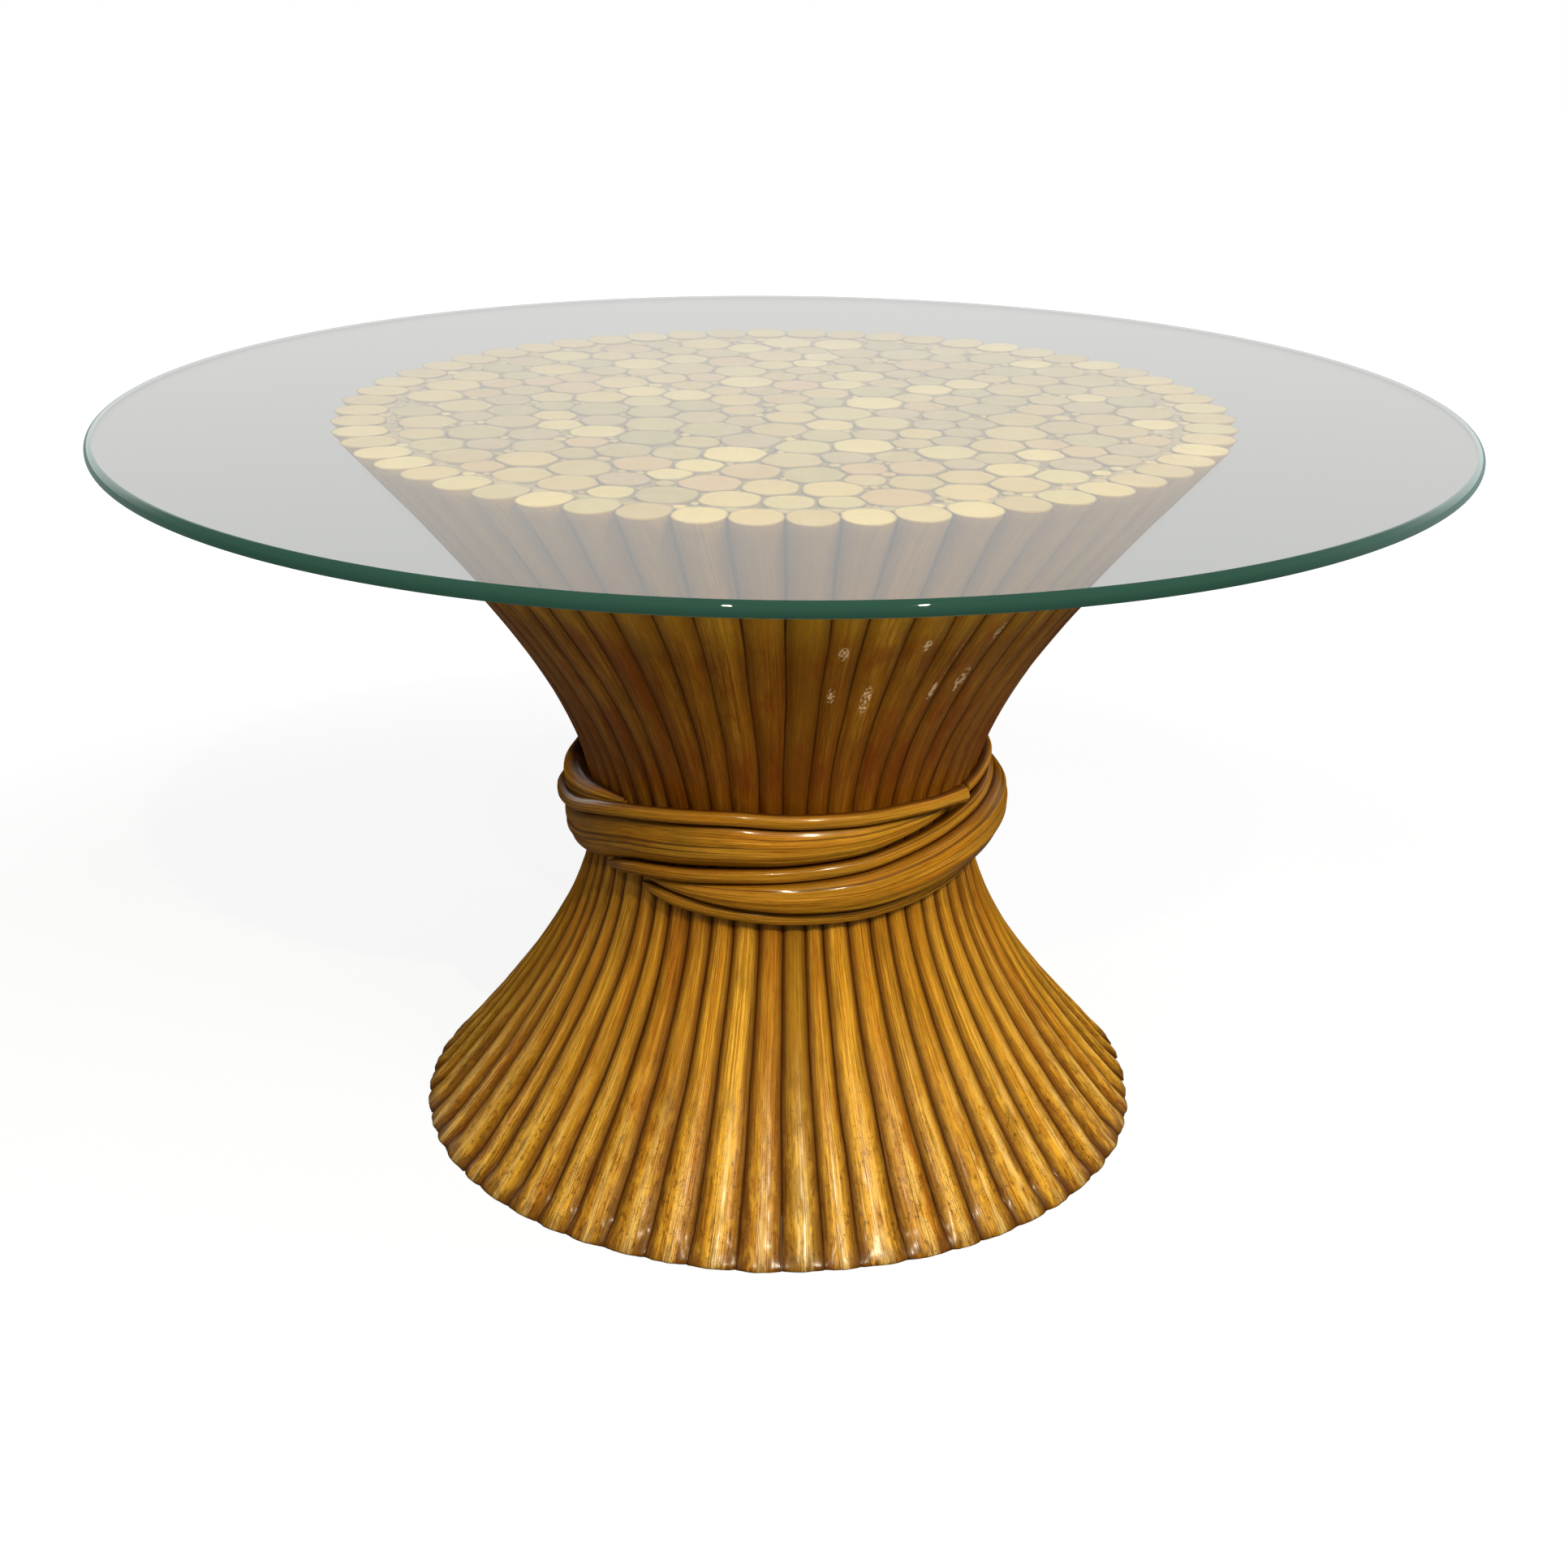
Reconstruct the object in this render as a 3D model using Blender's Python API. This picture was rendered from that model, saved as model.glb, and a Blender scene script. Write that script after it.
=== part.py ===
"""Wheat sheaf coffee table: rattan canes drawn in at the waist by a wrapped tie, a mosaic of cane ends
across the top, an inner former that holds the canes, and a loose round glass. Metres, +Z up, origin on
the floor at the centre, the lap of the tie facing -Y."""

import math

import bmesh
import bpy
import numpy as np
from mathutils import Vector
from mathutils.geometry import delaunay_2d_cdt

# Glass
GLASS_RADIUS = 0.450
GLASS_THICKNESS = 0.0095
GLASS_EDGE_ROUNDING = 0.0046

# Sheaf: outer radius at the floor, the waist and the top
SHEAF_HEIGHT = 0.497
TOP_RADIUS = 0.299
FOOT_RADIUS = 0.260
WAIST_RADIUS = 0.134
WAIST_HEIGHT = 0.225
WAIST_BEND = 0.162
CANE_PAIRS = 28
CANE_OVALITY = 1.15
CANE_FULLNESS = 0.70

# Inner former
BOARD_THICKNESS = 0.018
FOOT_BOARD_LIFT = 0.010
POST_RADIUS = 0.045
WAIST_DISC_THICKNESS = 0.020

# Mosaic of cane ends on the top board
PANEL_THICKNESS = 0.014
END_STAND = 0.003
END_RADIUS_LEAST = 0.0130
END_RADIUS_MOST = 0.0205
END_GROOVE = 0.0012
END_FILL = 0.86
END_SEED = 11
PACKING_STEPS = 400
PACKING_PUSH = 0.35

# Thin canes of the tie
TIE_CANE_RADIUS = 0.005

# Wood screws through the boards into the post
SCREWS_PER_END = 4
SCREW_CIRCLE = 0.026
SCREW_HEAD_RADIUS = 0.0048
SCREW_HEAD_HEIGHT = 0.0036
SCREW_RADIUS = 0.0025
SCREW_TIP_RADIUS = 0.0010
SCREW_LENGTH = 0.050

CLEARANCE = 0.0003

# Facets
CANE_RINGS = 10
TIE_STEP_DEGREES = 9.0
BAND_SIDES = 10
TIE_CANE_SIDES = 6
TOP_STRAND_SIDES = 8
GLASS_SEGMENTS = 80
GLASS_EDGE_STEPS = 4
BOARD_SEGMENTS = 56
SCREW_SEGMENTS = 8
END_SIDES = 6
SEAT_SAMPLES = 13
SHARP_ANGLE_DEGREES = 40

CANE_COUNT = 2 * CANE_PAIRS
HALF_PITCH = math.pi / CANE_COUNT
RING_HEIGHTS = np.linspace(0, SHEAF_HEIGHT, CANE_RINGS)

# The tie winds round the waist. A turn is in degrees from the front (-Y) towards +X and counts on past 360.
# Two thin canes follow one helix, the lower from the front left round to the back, the upper from the front
# left nearly once and a half round, and a broad band lies between one winding of the helix and the next.
# The points, chosen by hand, are (turn, size) with the size in tie units: here the helix's height from the
# waist before it first laps itself.
TIE_UNIT = 0.001
WRAP_START = -42.0
WRAP_LAP = WRAP_START + 360
BAND_END = 418.0
LOWER_CANE_END = 250.0
UPPER_CANE_START = 301.0
UPPER_CANE_END = 775.0
HELIX_RISE = ((-42, -21.5), (-11, -27.0), (5, -28.5), (20, -28.5), (33, -26.5), (60, -20.5), (84, -16.5),
              (130, -19.0), (180, -23.0), (230, -28.0), (276, -32.0), (292, -26.5), (309, -14.5))
BAND_HALF_HEIGHT = ((-42, 1.2), (-30, 4.8), (-12, 9.3), (2, 11.3), (20, 13.2), (36, 15.5), (50, 17.0),
                    (60, 17.8), (84, 18.8), (180, 19.0), (250, 18.0), (276, 17.5), (300, 17.5), (320, 17.2),
                    (333, 16.8), (348, 15.8), (360, 14.0), (380, 11.4), (392, 8.8), (405, 4.8), (418, 1.2))
BAND_DEPTH = ((-42, 4.0), (-30, 11.0), (-12, 18.0), (20, 23.5), (84, 26.0), (180, 24.0), (250, 18.5),
              (276, 17.0), (310, 17.0), (340, 19.0), (380, 16.0), (405, 9.0), (418, 3.5))
# Outward lean of the band's section, a share of its height, and how far a thin cane stands off the sheaf
# where it rides on the band
BAND_LEAN = ((-42, 0), (84, 0.1), (180, 0.1), (250, 0.15), (276, 0.2), (310, 0.25), (340, 0.2), (360, 0.1),
             (418, 0))
CANE_STAND = ((-42, 0), (306, 0), (320, 4), (345, 8), (390, 8), (420, 6), (445, 2), (480, 0), (600, 0),
              (618, 4), (634, 12), (672, 12), (700, 7), (720, 4), (779, 3))
# The top strand closes the ring behind, above the upper cane, and tucks in behind it at the left
TOP_STRAND_START = 62.0
TOP_STRAND_END = 312.0
TOP_STRAND_HALF_HEIGHT = ((62, 3.6), (90, 4.5), (180, 6.0), (276, 7.5), (296, 6.0), (312, 2.0))
TOP_STRAND_DEPTH = ((62, 7.0), (90, 8.5), (180, 10.0), (250, 11.0), (268, 13.0), (276, 12.0), (284, 10.0),
                    (296, 8.5), (312, 4.0))
TOP_STRAND_LIFT = ((62, 0), (90, 0), (135, 2), (180, 5), (225, 4), (250, 2), (270, 0), (284, -4), (296, -5),
                   (312, -6.5))
TIP_DEGREES = 14.0
TIP_SHARE = 0.35

COLOURS = {
    "glass": ((0.62, 0.78, 0.72, 1), 0.05),
    "cane": ((0.42, 0.22, 0.045, 1), 0.38),
    "cane_end": ((0.74, 0.62, 0.44, 1), 0.65),
    "tie": ((0.46, 0.25, 0.05, 1), 0.33),
    "board": ((0.55, 0.40, 0.24, 1), 0.75),
    "screw": ((0.60, 0.60, 0.62, 1), 0.35),
}


def clear_scene():
    for item in list(bpy.data.objects):
        bpy.data.objects.remove(item, do_unlink=True)


def finish_material(name):
    colour, roughness = COLOURS[name]
    material = bpy.data.materials.get(name) or bpy.data.materials.new(name)
    material.use_nodes = True
    shader = material.node_tree.nodes["Principled BSDF"]
    shader.inputs["Base Color"].default_value = colour
    shader.inputs["Roughness"].default_value = roughness
    shader.inputs["Metallic"].default_value = 1.0 if name == "screw" else 0.0
    return material


def empty(name, height):
    holder = bpy.data.objects.new(name, None)
    holder.location.z = height
    bpy.context.scene.collection.objects.link(holder)
    return holder


def place(name, mesh, parent, finish, turn=0.0):
    """Adds one piece under its parent empty, turned about Z."""
    piece = bpy.data.objects.new(name, mesh)
    piece.parent = parent
    piece.rotation_euler.z = turn
    bpy.context.scene.collection.objects.link(piece)
    if not mesh.materials:
        mesh.materials.append(finish_material(finish))
    return piece


def mesh_from(name, points, faces):
    mesh = bpy.data.meshes.new(name)
    mesh.from_pydata([tuple(p) for p in points], [], faces)
    mesh.shade_smooth()
    mesh.set_sharp_from_angle(angle=math.radians(SHARP_ANGLE_DEGREES))
    return mesh


def loft(name, rings):
    """A closed solid through rings of as many points each, anticlockwise seen from the last ring."""
    count = len(rings[0])
    points = [p for ring in rings for p in ring]
    faces = [list(range(count))[::-1]]
    for k in range(len(rings) - 1):
        for i in range(count):
            j = (i + 1) % count
            low, high = k * count, (k + 1) * count
            faces.append([low + i, low + j, high + j, high + i])
    faces.append([(len(rings) - 1) * count + i for i in range(count)])
    return mesh_from(name, points, faces)


def turned(name, outline, segments):
    """A solid of revolution about Z from (radius, height) points, listed from the bottom up."""
    rings = []
    for radius, height in outline:
        angles = [2 * math.pi * i / segments for i in range(segments)]
        rings.append([Vector((radius * math.cos(a), radius * math.sin(a), height)) for a in angles])
    return loft(name, rings)


def smooth(points, at):
    """A smooth curve through (position, value) points that never swings past them."""
    x = np.array([p[0] for p in points], float)
    y = np.array([p[1] for p in points], float)
    slope = np.diff(y) / np.diff(x)
    tangent = np.zeros(len(x))
    rising = slope[:-1] * slope[1:] > 0
    inner = np.where(rising, 2 * slope[:-1] * slope[1:] / (slope[:-1] + slope[1:] + 1e-18), 0)
    tangent[1:-1] = inner
    tangent[0], tangent[-1] = slope[0], slope[-1]
    k = int(np.clip(np.searchsorted(x, at) - 1, 0, len(x) - 2))
    span = x[k + 1] - x[k]
    t = float(np.clip((at - x[k]) / span, 0, 1))
    hold, leave = 1 - t * t * (3 - 2 * t), t * t * (3 - 2 * t)
    bend_in, bend_out = t * (1 - t) ** 2, t * t * (t - 1)
    return hold * y[k] + leave * y[k + 1] + span * (bend_in * tangent[k] + bend_out * tangent[k + 1])


def flare(height):
    """The sheaf's outer radius: a bent line that is straight far from the waist."""
    def opening(distance):
        return math.hypot(distance, WAIST_BEND) - WAIST_BEND

    rise = height - WAIST_HEIGHT
    if rise > 0:
        share = opening(rise) / opening(SHEAF_HEIGHT - WAIST_HEIGHT)
        return WAIST_RADIUS + (TOP_RADIUS - WAIST_RADIUS) * share
    share = opening(rise) / opening(WAIST_HEIGHT)
    return WAIST_RADIUS + (FOOT_RADIUS - WAIST_RADIUS) * share


def crest(height):
    """Outer radius of the faceted canes."""
    return float(np.interp(height, RING_HEIGHTS, [flare(z) for z in RING_HEIGHTS]))


def cane_centre(height):
    return crest(height) / (1 + CANE_OVALITY * math.sin(HALF_PITCH))


def hollow(height):
    """Inner radius that the canes leave free."""
    return 2 * cane_centre(height) - crest(height)


def least_hollow(low, high):
    return min(hollow(z) for z in np.linspace(low, high, SEAT_SAMPLES))


def section(angle):
    """A cane's section in half sizes, across and outward: oval inside the ring, fuller on its outer side."""
    across, out = math.cos(angle), math.sin(angle)
    power = CANE_FULLNESS if out > 0 else 1.0
    return math.copysign(abs(across) ** power, across), math.copysign(abs(out) ** power, out)


def cane_pair_mesh():
    """Two neighbouring canes glued side by side, about the front (-Y), cut level at both ends."""
    arc = [math.radians(u) for u in (-150, -90, -45, 0, 45, 90, 150)]
    rings = []
    for height in RING_HEIGHTS:
        centre = cane_centre(height)
        half_width = centre * math.sin(HALF_PITCH) - CLEARANCE / 2
        half_depth = crest(height) - centre
        ring = []
        for side in (1, -1):
            turn = side * HALF_PITCH
            outward = Vector((math.sin(turn), -math.cos(turn), 0))
            along = Vector((math.cos(turn), math.sin(turn), 0))
            for u in arc if side > 0 else [math.pi - a for a in reversed(arc)]:
                across, out = section(u)
                point = outward * (centre + half_depth * out) + along * half_width * across
                ring.append(point + Vector((0, 0, height)))
        rings.append(ring[::-1])
    return loft("cane_pair", rings)


def tie_size(points, turn):
    return TIE_UNIT * smooth(points, turn)


def half_height(turn):
    return tie_size(BAND_HALF_HEIGHT, turn)


def helix_step(turn):
    """Rise of the thin canes' helix over the full turn that starts here, with the band between."""
    return 2 * (half_height(turn) + TIE_CANE_RADIUS + CLEARANCE)


def helix(turn):
    """Height of the thin canes' centre line."""
    if turn >= WRAP_LAP:
        return helix(turn - 360) + helix_step(turn - 360)
    lap = HELIX_RISE[0][1] + helix_step(WRAP_START) / TIE_UNIT
    return WAIST_HEIGHT + tie_size(HELIX_RISE + ((WRAP_LAP, lap),), turn)


def seat(height, half_tall, half_deep, lean=0.0):
    """Radius at which an oval strand of this size rests on the canes."""
    reach = []
    for share in np.linspace(-1, 1, SEAT_SAMPLES):
        bulge = half_deep * math.sqrt(1 - share * share) - lean * share * half_tall
        reach.append(crest(height + share * half_tall) + bulge)
    return (max(reach) + CLEARANCE) / math.cos(math.radians(TIE_STEP_DEGREES / 2))


def tip(turn, start, end):
    """Thins a strand towards its two ends."""
    near = min(turn - start, end - turn) / TIP_DEGREES
    return TIP_SHARE + (1 - TIP_SHARE) * math.sin(min(near, 1) * math.pi / 2)


def least_gap(rings, turns):
    """Least distance between the points of a strand that lie more than half a turn apart along it."""
    points = np.array(rings)
    gaps = [np.inf]
    for ring, turn in zip(points, turns):
        away = points[turns > turn + 180].reshape(-1, 1, 3)
        if len(away):
            gaps.append(np.linalg.norm(away - ring, axis=2).min())
    return min(gaps)


def strand(name, start, end, sides, station):
    """A strand of the tie: station(turn) gives its height, radius, half sizes and lean at each step."""
    turns = np.linspace(start, end, math.ceil((end - start) / TIE_STEP_DEGREES) + 1)
    rings = []
    for turn in turns:
        height, radius, half_tall, half_deep, lean = station(turn)
        angle = math.radians(turn)
        outward = Vector((math.sin(angle), -math.cos(angle), 0))
        ring = []
        for i in range(sides):
            u = -2 * math.pi * i / sides
            reach = radius + half_deep * math.cos(u) + lean * half_tall * math.sin(u)
            ring.append(outward * reach + Vector((0, 0, height + half_tall * math.sin(u))))
        rings.append(ring)
    print(f"{name}: least gap to itself {1000 * least_gap(rings, turns):.2f} mm")
    return loft(name, rings)


def tie_band_mesh():
    def station(turn):
        tall = half_height(turn)
        deep = tie_size(BAND_DEPTH, turn) / 2
        lean = smooth(BAND_LEAN, turn)
        height = helix(turn) + TIE_CANE_RADIUS + CLEARANCE + tall
        return height, seat(height, tall, deep, lean), tall, deep, lean

    return strand("tie_band", WRAP_START, BAND_END, BAND_SIDES, station)


def tie_cane_mesh(name, start, end, sawn=False):
    """A thin cane on the helix. Its start is tucked in and thin, its end too unless it is sawn off square."""
    def station(turn):
        radius = TIE_CANE_RADIUS * tip(turn, start, end + TIP_DEGREES * sawn)
        height = helix(turn)
        return height, seat(height, radius, radius) + tie_size(CANE_STAND, turn), radius, radius, 0

    return strand(name, start, end, TIE_CANE_SIDES, station)


def tie_top_strand_mesh():
    def station(turn):
        tall = tie_size(TOP_STRAND_HALF_HEIGHT, turn)
        deep = tie_size(TOP_STRAND_DEPTH, turn) / 2
        height = helix(turn + 360) + TIE_CANE_RADIUS + CLEARANCE + tall + tie_size(TOP_STRAND_LIFT, turn)
        return height, seat(height, tall, deep), tall, deep, 0

    return strand("tie_top_strand", TOP_STRAND_START, TOP_STRAND_END, TOP_STRAND_SIDES, station)


def packed_ends(reach):
    """Centres and radii of cane ends of mixed sizes, packed into a circle by pushing overlaps apart."""
    draw = np.random.default_rng(END_SEED)
    mean_square = (END_RADIUS_MOST ** 3 - END_RADIUS_LEAST ** 3) / 3 / (END_RADIUS_MOST - END_RADIUS_LEAST)
    count = int(END_FILL * reach ** 2 / mean_square)
    sizes = draw.uniform(END_RADIUS_LEAST, END_RADIUS_MOST, count)
    golden = math.pi * (3 - math.sqrt(5))
    index = np.arange(count)
    away = reach * np.sqrt((index + 0.5) / count)
    centres = np.stack([away * np.cos(index * golden), away * np.sin(index * golden)], 1)
    for _ in range(PACKING_STEPS):
        apart = centres[:, None] - centres[None]
        distance = np.linalg.norm(apart, axis=2) + np.eye(count)
        overlap = np.maximum(sizes[:, None] + sizes[None] - distance, 0) * (1 - np.eye(count))
        centres += PACKING_PUSH * (apart / distance[:, :, None] * overlap[:, :, None]).sum(1)
        radial = np.linalg.norm(centres, axis=1)
        inside = np.minimum(1, (reach - sizes) / np.maximum(radial, 1e-9))
        centres *= inside[:, None]
    apart = np.linalg.norm(centres[:, None] - centres[None], axis=2)
    np.fill_diagonal(apart, np.inf)
    shared = (apart * sizes[:, None] / (sizes[:, None] + sizes[None])).min(1)
    rim = reach - np.linalg.norm(centres, axis=1)
    radii = np.minimum(np.minimum(sizes, shared), rim) - END_GROOVE / 2
    return centres, radii


def cane_end_panel_mesh(bottom):
    """A backing disc, flared with the canes round it, with the sawn cane ends standing on it."""
    top = SHEAF_HEIGHT - END_STAND
    low_radius = least_hollow(bottom, top) - CLEARANCE
    high_radius = hollow(top) - 2 * CLEARANCE
    angles = [2 * math.pi * i / BOARD_SEGMENTS for i in range(BOARD_SEGMENTS)]
    flat = [Vector((high_radius * math.cos(a), high_radius * math.sin(a))) for a in angles]
    outlines = []
    centres, radii = packed_ends(high_radius * math.cos(math.pi / BOARD_SEGMENTS))
    for k, ((x, y), radius) in enumerate(zip(centres, radii)):
        outlines.append(list(range(len(flat), len(flat) + END_SIDES)))
        for i in range(END_SIDES):
            a = 2 * math.pi * i / END_SIDES + k
            flat.append(Vector((x + radius * math.cos(a), y + radius * math.sin(a))))
    points, _, faces, _, _, owners = delaunay_2d_cdt(flat, [], outlines, 0, 1e-7)
    panel = bmesh.new()
    corners = [panel.verts.new((p.x, p.y, top)) for p in points]
    made = [panel.faces.new([corners[i] for i in face]) for face in faces]
    ends = [face for face, owner in zip(made, owners) if owner]
    rim = [edge for edge in panel.edges if edge.is_boundary]
    skirt = bmesh.ops.extrude_edge_only(panel, edges=rim)["geom"]
    lower = [v for v in skirt if isinstance(v, bmesh.types.BMVert)]
    for v in lower:
        v.co.xy *= low_radius / high_radius
        v.co.z = bottom
    bmesh.ops.contextual_create(panel, geom=[e for e in panel.edges if e.is_boundary])
    raised = bmesh.ops.extrude_face_region(panel, geom=ends)["geom"]
    lifted = [v for v in raised if isinstance(v, bmesh.types.BMVert)]
    bmesh.ops.translate(panel, verts=lifted, vec=(0, 0, END_STAND))
    bmesh.ops.delete(panel, geom=ends, context="FACES_ONLY")
    bmesh.ops.recalc_face_normals(panel, faces=panel.faces)
    mesh = bpy.data.meshes.new("cane_end_panel")
    panel.to_mesh(mesh)
    panel.free()
    return mesh


def ring_mesh(name, radius, bore, low, high):
    """A flat ring with a round hole."""
    count = BOARD_SEGMENTS
    points = []
    for r, z in ((bore, low), (radius, low), (radius, high), (bore, high)):
        points += [Vector((r * math.cos(2 * math.pi * i / count), r * math.sin(2 * math.pi * i / count), z))
                   for i in range(count)]
    faces = []
    for k in range(4):
        for i in range(count):
            j = (i + 1) % count
            a, b = k * count, (k + 1) % 4 * count
            faces.append([a + i, b + i, b + j, a + j][::-1])
    return mesh_from(name, points, faces)


def glass_mesh():
    """A round pane whose edge is ground half round, resting on z = 0."""
    ease = min(GLASS_EDGE_ROUNDING, GLASS_THICKNESS / 2 - CLEARANCE / 2)
    quarter = [math.pi / 2 * k / GLASS_EDGE_STEPS for k in range(GLASS_EDGE_STEPS + 1)]
    outline = []
    for a in quarter:
        outline.append((GLASS_RADIUS - ease + ease * math.sin(a), ease - ease * math.cos(a)))
    for a in quarter:
        height = GLASS_THICKNESS - ease + ease * math.sin(a)
        outline.append((GLASS_RADIUS - ease + ease * math.cos(a), height))
    return turned("glass_top", outline, GLASS_SEGMENTS)


def screw_outline(extra=0.0):
    """A countersunk wood screw, head up, its head's top at z = 0."""
    return (
        (SCREW_TIP_RADIUS + extra, -SCREW_LENGTH - extra),
        (SCREW_RADIUS + extra, -SCREW_LENGTH + 2 * SCREW_RADIUS - extra),
        (SCREW_RADIUS + extra, -SCREW_HEAD_HEIGHT - extra),
        (SCREW_HEAD_RADIUS + extra, extra),
    )


def screw_places():
    turns = [2 * math.pi * (i + 0.5) / SCREWS_PER_END for i in range(SCREWS_PER_END)]
    return [(SCREW_CIRCLE * math.cos(t), SCREW_CIRCLE * math.sin(t)) for t in turns]


def drill(pieces, height, facing_up, base):
    """Cuts the screws' clearance holes, at one end of the post, out of the pieces they join."""
    for i, (x, y) in enumerate(screw_places()):
        mesh = turned("drill", screw_outline(CLEARANCE), SCREW_SEGMENTS)
        cutter = bpy.data.objects.new(f"drill_{pieces[0].name}_{i + 1}", mesh)
        cutter.location = (x, y, height)
        cutter.rotation_euler.x = 0 if facing_up else math.pi
        cutter.parent = base
        cutter.hide_render = True
        cutter.display_type = "WIRE"
        bpy.context.scene.collection.objects.link(cutter)
        for piece in pieces:
            cut = piece.modifiers.new(f"screw_hole_{i}", "BOOLEAN")
            cut.operation = "DIFFERENCE"
            cut.object = cutter


def add_screws(prefix, height, facing_up, base):
    mesh = turned(prefix, screw_outline(), SCREW_SEGMENTS)
    for i, (x, y) in enumerate(screw_places()):
        screw = place(f"{prefix}_{i + 1}", mesh, base, "screw")
        screw.location = (x, y, height)
        screw.rotation_euler.x = 0 if facing_up else math.pi


def add_former(base):
    """The post, its two boards, the disc at the waist and the screws, all inside the canes."""
    foot_low = FOOT_BOARD_LIFT
    foot_high = foot_low + BOARD_THICKNESS
    panel_low = SHEAF_HEIGHT - PANEL_THICKNESS
    board_high = panel_low - CLEARANCE
    board_low = board_high - BOARD_THICKNESS
    foot_radius = least_hollow(foot_low, foot_high) - CLEARANCE
    board_radius = least_hollow(board_low, board_high) - CLEARANCE
    foot_outline = ((foot_radius, foot_low), (foot_radius, foot_high))
    board_outline = ((board_radius, board_low), (board_radius, board_high))
    post_outline = ((POST_RADIUS, foot_high + CLEARANCE), (POST_RADIUS, board_low - CLEARANCE))
    foot = place("foot_board", turned("foot_board", foot_outline, BOARD_SEGMENTS), base, "board")
    board = place("top_board", turned("top_board", board_outline, BOARD_SEGMENTS), base, "board")
    post = place("core_post", turned("core_post", post_outline, BOARD_SEGMENTS // 2), base, "board")
    disc_low = WAIST_HEIGHT - WAIST_DISC_THICKNESS / 2
    disc_high = WAIST_HEIGHT + WAIST_DISC_THICKNESS / 2
    disc_radius = least_hollow(disc_low, disc_high) - CLEARANCE
    bore = (POST_RADIUS + CLEARANCE) / math.cos(math.pi / BOARD_SEGMENTS)
    place("waist_disc", ring_mesh("waist_disc", disc_radius, bore, disc_low, disc_high), base, "board")
    drill((foot, post), foot_low, False, base)
    drill((board, post), board_high, True, base)
    add_screws("foot_screw", foot_low, False, base)
    add_screws("top_screw", board_high, True, base)
    place("cane_end_panel", cane_end_panel_mesh(panel_low), base, "cane_end")


def add_canes(base):
    mesh = cane_pair_mesh()
    for i in range(CANE_PAIRS):
        place(f"cane_pair_{i + 1:02d}", mesh, base, "cane", turn=2 * math.pi * i / CANE_PAIRS)


def add_tie(base):
    place("tie_band", tie_band_mesh(), base, "tie")
    upper_cane = tie_cane_mesh("tie_upper_cane", UPPER_CANE_START, UPPER_CANE_END, sawn=True)
    place("tie_upper_cane", upper_cane, base, "tie")
    place("tie_lower_cane", tie_cane_mesh("tie_lower_cane", WRAP_START, LOWER_CANE_END), base, "tie")
    place("tie_top_strand", tie_top_strand_mesh(), base, "tie")


def main():
    clear_scene()
    base = empty("base", 0)
    glass_seat = empty("glass_seat", SHEAF_HEIGHT + CLEARANCE)
    add_canes(base)
    add_former(base)
    add_tie(base)
    place("glass_top", glass_mesh(), glass_seat, "glass")


main()
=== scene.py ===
# %% [markdown]
# # The looks of a wheat sheaf coffee table
# The table is a sheaf of rattan canes, drawn in at the waist by a wound tie, with sawn cane ends across the
# top and a loose round glass on them. Its construction is already settled: the frame below is that model,
# in metres, with +Z up and the front at -Y. This lesson dresses it. Each step first says what the piece is
# on the real table, and then makes it.

# %% The frame
import math

import bpy
import numpy as np
from mathutils import Euler, Matrix, Vector


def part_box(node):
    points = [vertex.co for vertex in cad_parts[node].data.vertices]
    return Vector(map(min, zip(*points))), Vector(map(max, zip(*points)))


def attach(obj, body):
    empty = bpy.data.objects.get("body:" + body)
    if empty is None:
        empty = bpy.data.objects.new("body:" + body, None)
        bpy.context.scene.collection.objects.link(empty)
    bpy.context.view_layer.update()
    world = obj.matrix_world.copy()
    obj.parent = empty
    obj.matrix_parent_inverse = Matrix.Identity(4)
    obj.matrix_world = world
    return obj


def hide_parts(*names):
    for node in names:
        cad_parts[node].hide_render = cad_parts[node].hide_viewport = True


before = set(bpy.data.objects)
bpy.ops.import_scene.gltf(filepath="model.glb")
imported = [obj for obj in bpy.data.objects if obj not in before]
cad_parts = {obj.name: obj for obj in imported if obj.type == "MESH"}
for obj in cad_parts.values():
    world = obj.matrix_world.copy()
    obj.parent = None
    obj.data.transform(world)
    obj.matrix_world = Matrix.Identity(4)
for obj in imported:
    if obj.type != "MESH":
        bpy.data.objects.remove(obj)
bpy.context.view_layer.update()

# %% [markdown]
# ## Sums that become nodes
# Materials and Geometry Nodes trees are both node trees, and wiring a sum by hand takes a line for each node.
# A small class that holds one socket lets the sum be written as Python: `1 - mask` adds a Math node. Every
# other node comes from its one method `node`, which takes the type, the settings and the sockets' values.

# %% Wires
def sum_method(operation, swapped=False):
    """A method for one of Python's operators, which adds that Math node."""
    def method(self, other):
        values = (other, self) if swapped else (self, other)
        return self.node("ShaderNodeMath", {"operation": operation}, dict(enumerate(values)))

    return method


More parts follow.
